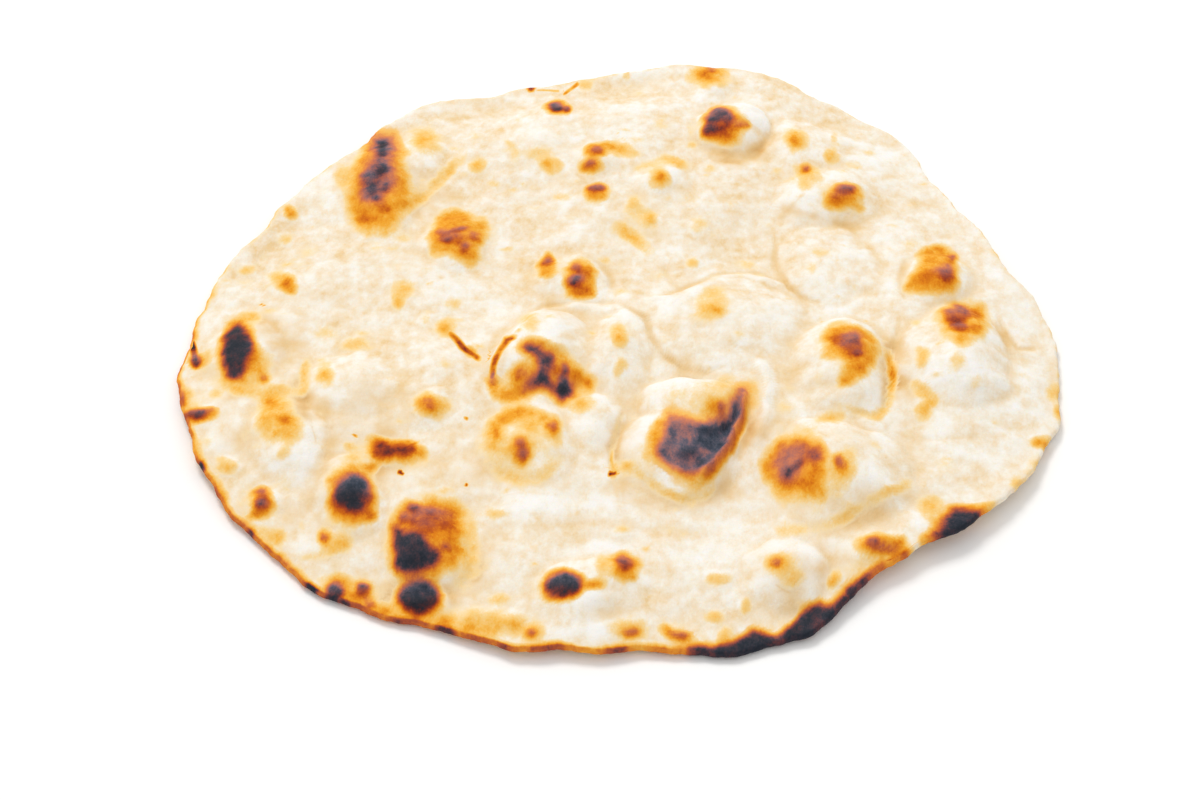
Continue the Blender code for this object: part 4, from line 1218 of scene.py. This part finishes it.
    # Scorching: gold, orange, rust, dark red-brown, then char. Where painted sheen lies on the scorch it is mauve
    # and blue-grey instead, a painted reflection of the light.
    wobble = maths("ADD", uneven(grain, 0.5, 0.26), uneven(dust, 0.5, 0.16))
    wobble = maths("ADD", wobble, uneven(patch, 0.5, 0.26))
    reach = spread(burn, -0.08, 0.34, 0.14, 1.12)
    scorched = maths("ADD", burn, maths("MULTIPLY", wobble, reach), clamp=True)
    hairs = thin_line("hair_side", "hair", 0.2, 2.1)
    hairs = maths("ADD", hairs, maths("MULTIPLY", uneven(grain, 0.5, 0.9), hairs), clamp=True)
    scorched = maths("MAXIMUM", scorched, hairs)
    baked = ramp_of(scorched, (
        (0.0, (250, 236, 208)),
        (0.09, (251, 226, 178)),
        (0.18, (250, 211, 138)),
        (0.28, (249, 193, 92)),
        (0.38, (244, 168, 46)),
        (0.49, (230, 137, 22)),
        (0.60, (202, 98, 16)),
        (0.71, (168, 66, 22)),
        (0.81, (116, 42, 28)),
        (0.89, (68, 32, 34)),
        (0.95, (39, 33, 41)),
        (1.0, (26, 29, 37)),
    ))
    sheen_colour = ramp_of(scorched, (
        (0.28, (249, 194, 104)),
        (0.43, (242, 166, 90)),
        (0.54, (226, 142, 96)),
        (0.65, (202, 128, 106)),
        (0.75, (164, 118, 116)),
        (0.84, (108, 100, 114)),
        (0.92, (76, 83, 98)),
        (1.0, (50, 61, 76)),
    ))
    # Painted sheen, mottled, turns the scorch colours mauve and blue-grey.
    sheen_amount = maths("MULTIPLY", layer("painted_sheen"), maths("ADD", 0.55, maths("MULTIPLY", mottle, 0.7)), clamp=True)
    colour = blend(sheen_amount, baked, sheen_colour)
    colour = blend(spread(scorched, 0.0, 0.13), cream, colour)
    links.new(colour, shader.inputs["Base Color"])

    # Char is smoother than floury dough
    links.new(spread(scorched, 0.55, 0.95, 0.85, 0.55), shader.inputs["Roughness"])
    shader.inputs["Metallic"].default_value = 0.0
    shader.inputs["Specular IOR Level"].default_value = 0.10
    shader.inputs["Subsurface Weight"].default_value = 0.10
    shader.inputs["Subsurface Radius"].default_value = (1.0, 0.6, 0.35)
    shader.inputs["Subsurface Scale"].default_value = 0.002

    height = maths("ADD", maths("MULTIPLY", grain, 0.7), maths("MULTIPLY", dust, 0.25))
    height = maths("ADD", height, maths("MULTIPLY", patch, 0.8))
    bump = node("ShaderNodeBump")
    bump.inputs["Strength"].default_value = 0.65
    bump.inputs["Distance"].default_value = 0.0004
    links.new(height, bump.inputs["Height"])
    links.new(bump.outputs["Normal"], shader.inputs["Normal"])
    return material


def plain_material(name, colour, roughness):
    material = bpy.data.materials.new(name)
    material.use_nodes = True
    shader = material.node_tree.nodes["Principled BSDF"]
    shader.inputs["Base Color"].default_value = colour
    shader.inputs["Roughness"].default_value = roughness
    shader.inputs["Specular IOR Level"].default_value = 0.1
    return material


crust = build_crust()
crust.data.materials.append(crust_material())
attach(crust, "root")
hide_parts("roti")

# ----------------------------------------------------------------------------
# Floor, light and camera
# ----------------------------------------------------------------------------
floor_mesh = bpy.data.meshes.new("floor")
floor_mesh.from_pydata(
    [(-3, -3, -0.0004), (3, -3, -0.0004), (3, 3, -0.0004), (-3, 3, -0.0004)], [], [(0, 1, 2, 3)]
)
floor = bpy.data.objects.new("floor", floor_mesh)
bpy.context.scene.collection.objects.link(floor)
floor_mesh.materials.append(plain_material("pale_floor", (0.93, 0.93, 0.93, 1.0), 0.9))

scene = bpy.context.scene
world = bpy.data.worlds.new("studio")
world.use_nodes = True
world.node_tree.nodes["Background"].inputs["Color"].default_value = (1.0, 0.99, 0.975, 1.0)
world.node_tree.nodes["Background"].inputs["Strength"].default_value = 0.84
scene.world = world


def soft_light(name, place, aim, size, power, colour=(1.0, 1.0, 1.0)):
    data = bpy.data.lights.new(name, "AREA")
    data.shape = "DISK"
    data.size = size
    data.energy = power
    data.color = colour
    lamp = bpy.data.objects.new(name, data)
    bpy.context.scene.collection.objects.link(lamp)
    lamp.location = place
    lamp.rotation_euler = (Vector(aim) - Vector(place)).to_track_quat("-Z", "Y").to_euler()
    return lamp


soft_light("key", (-1.3, 2.3, 3.3), (0, 0, 0), 1.5, 78.0, (0.99, 0.985, 0.965))

camera_data = bpy.data.cameras.new("camera")
camera_data.lens = LENS
camera_data.sensor_width = SENSOR
camera = bpy.data.objects.new("camera", camera_data)
scene.collection.objects.link(camera)
basis = Matrix(
    (
        (CAM_X[0], CAM_Y[0], BACK[0], EYE[0] * MM),
        (CAM_X[1], CAM_Y[1], BACK[1], EYE[1] * MM),
        (CAM_X[2], CAM_Y[2], BACK[2], EYE[2] * MM),
        (0, 0, 0, 1),
    )
)
camera.matrix_world = basis
scene.camera = camera
scene.view_settings.view_transform = "Standard"
scene.view_settings.look = "None"
scene.view_settings.exposure = 0.0
scene.view_settings.gamma = 1.0
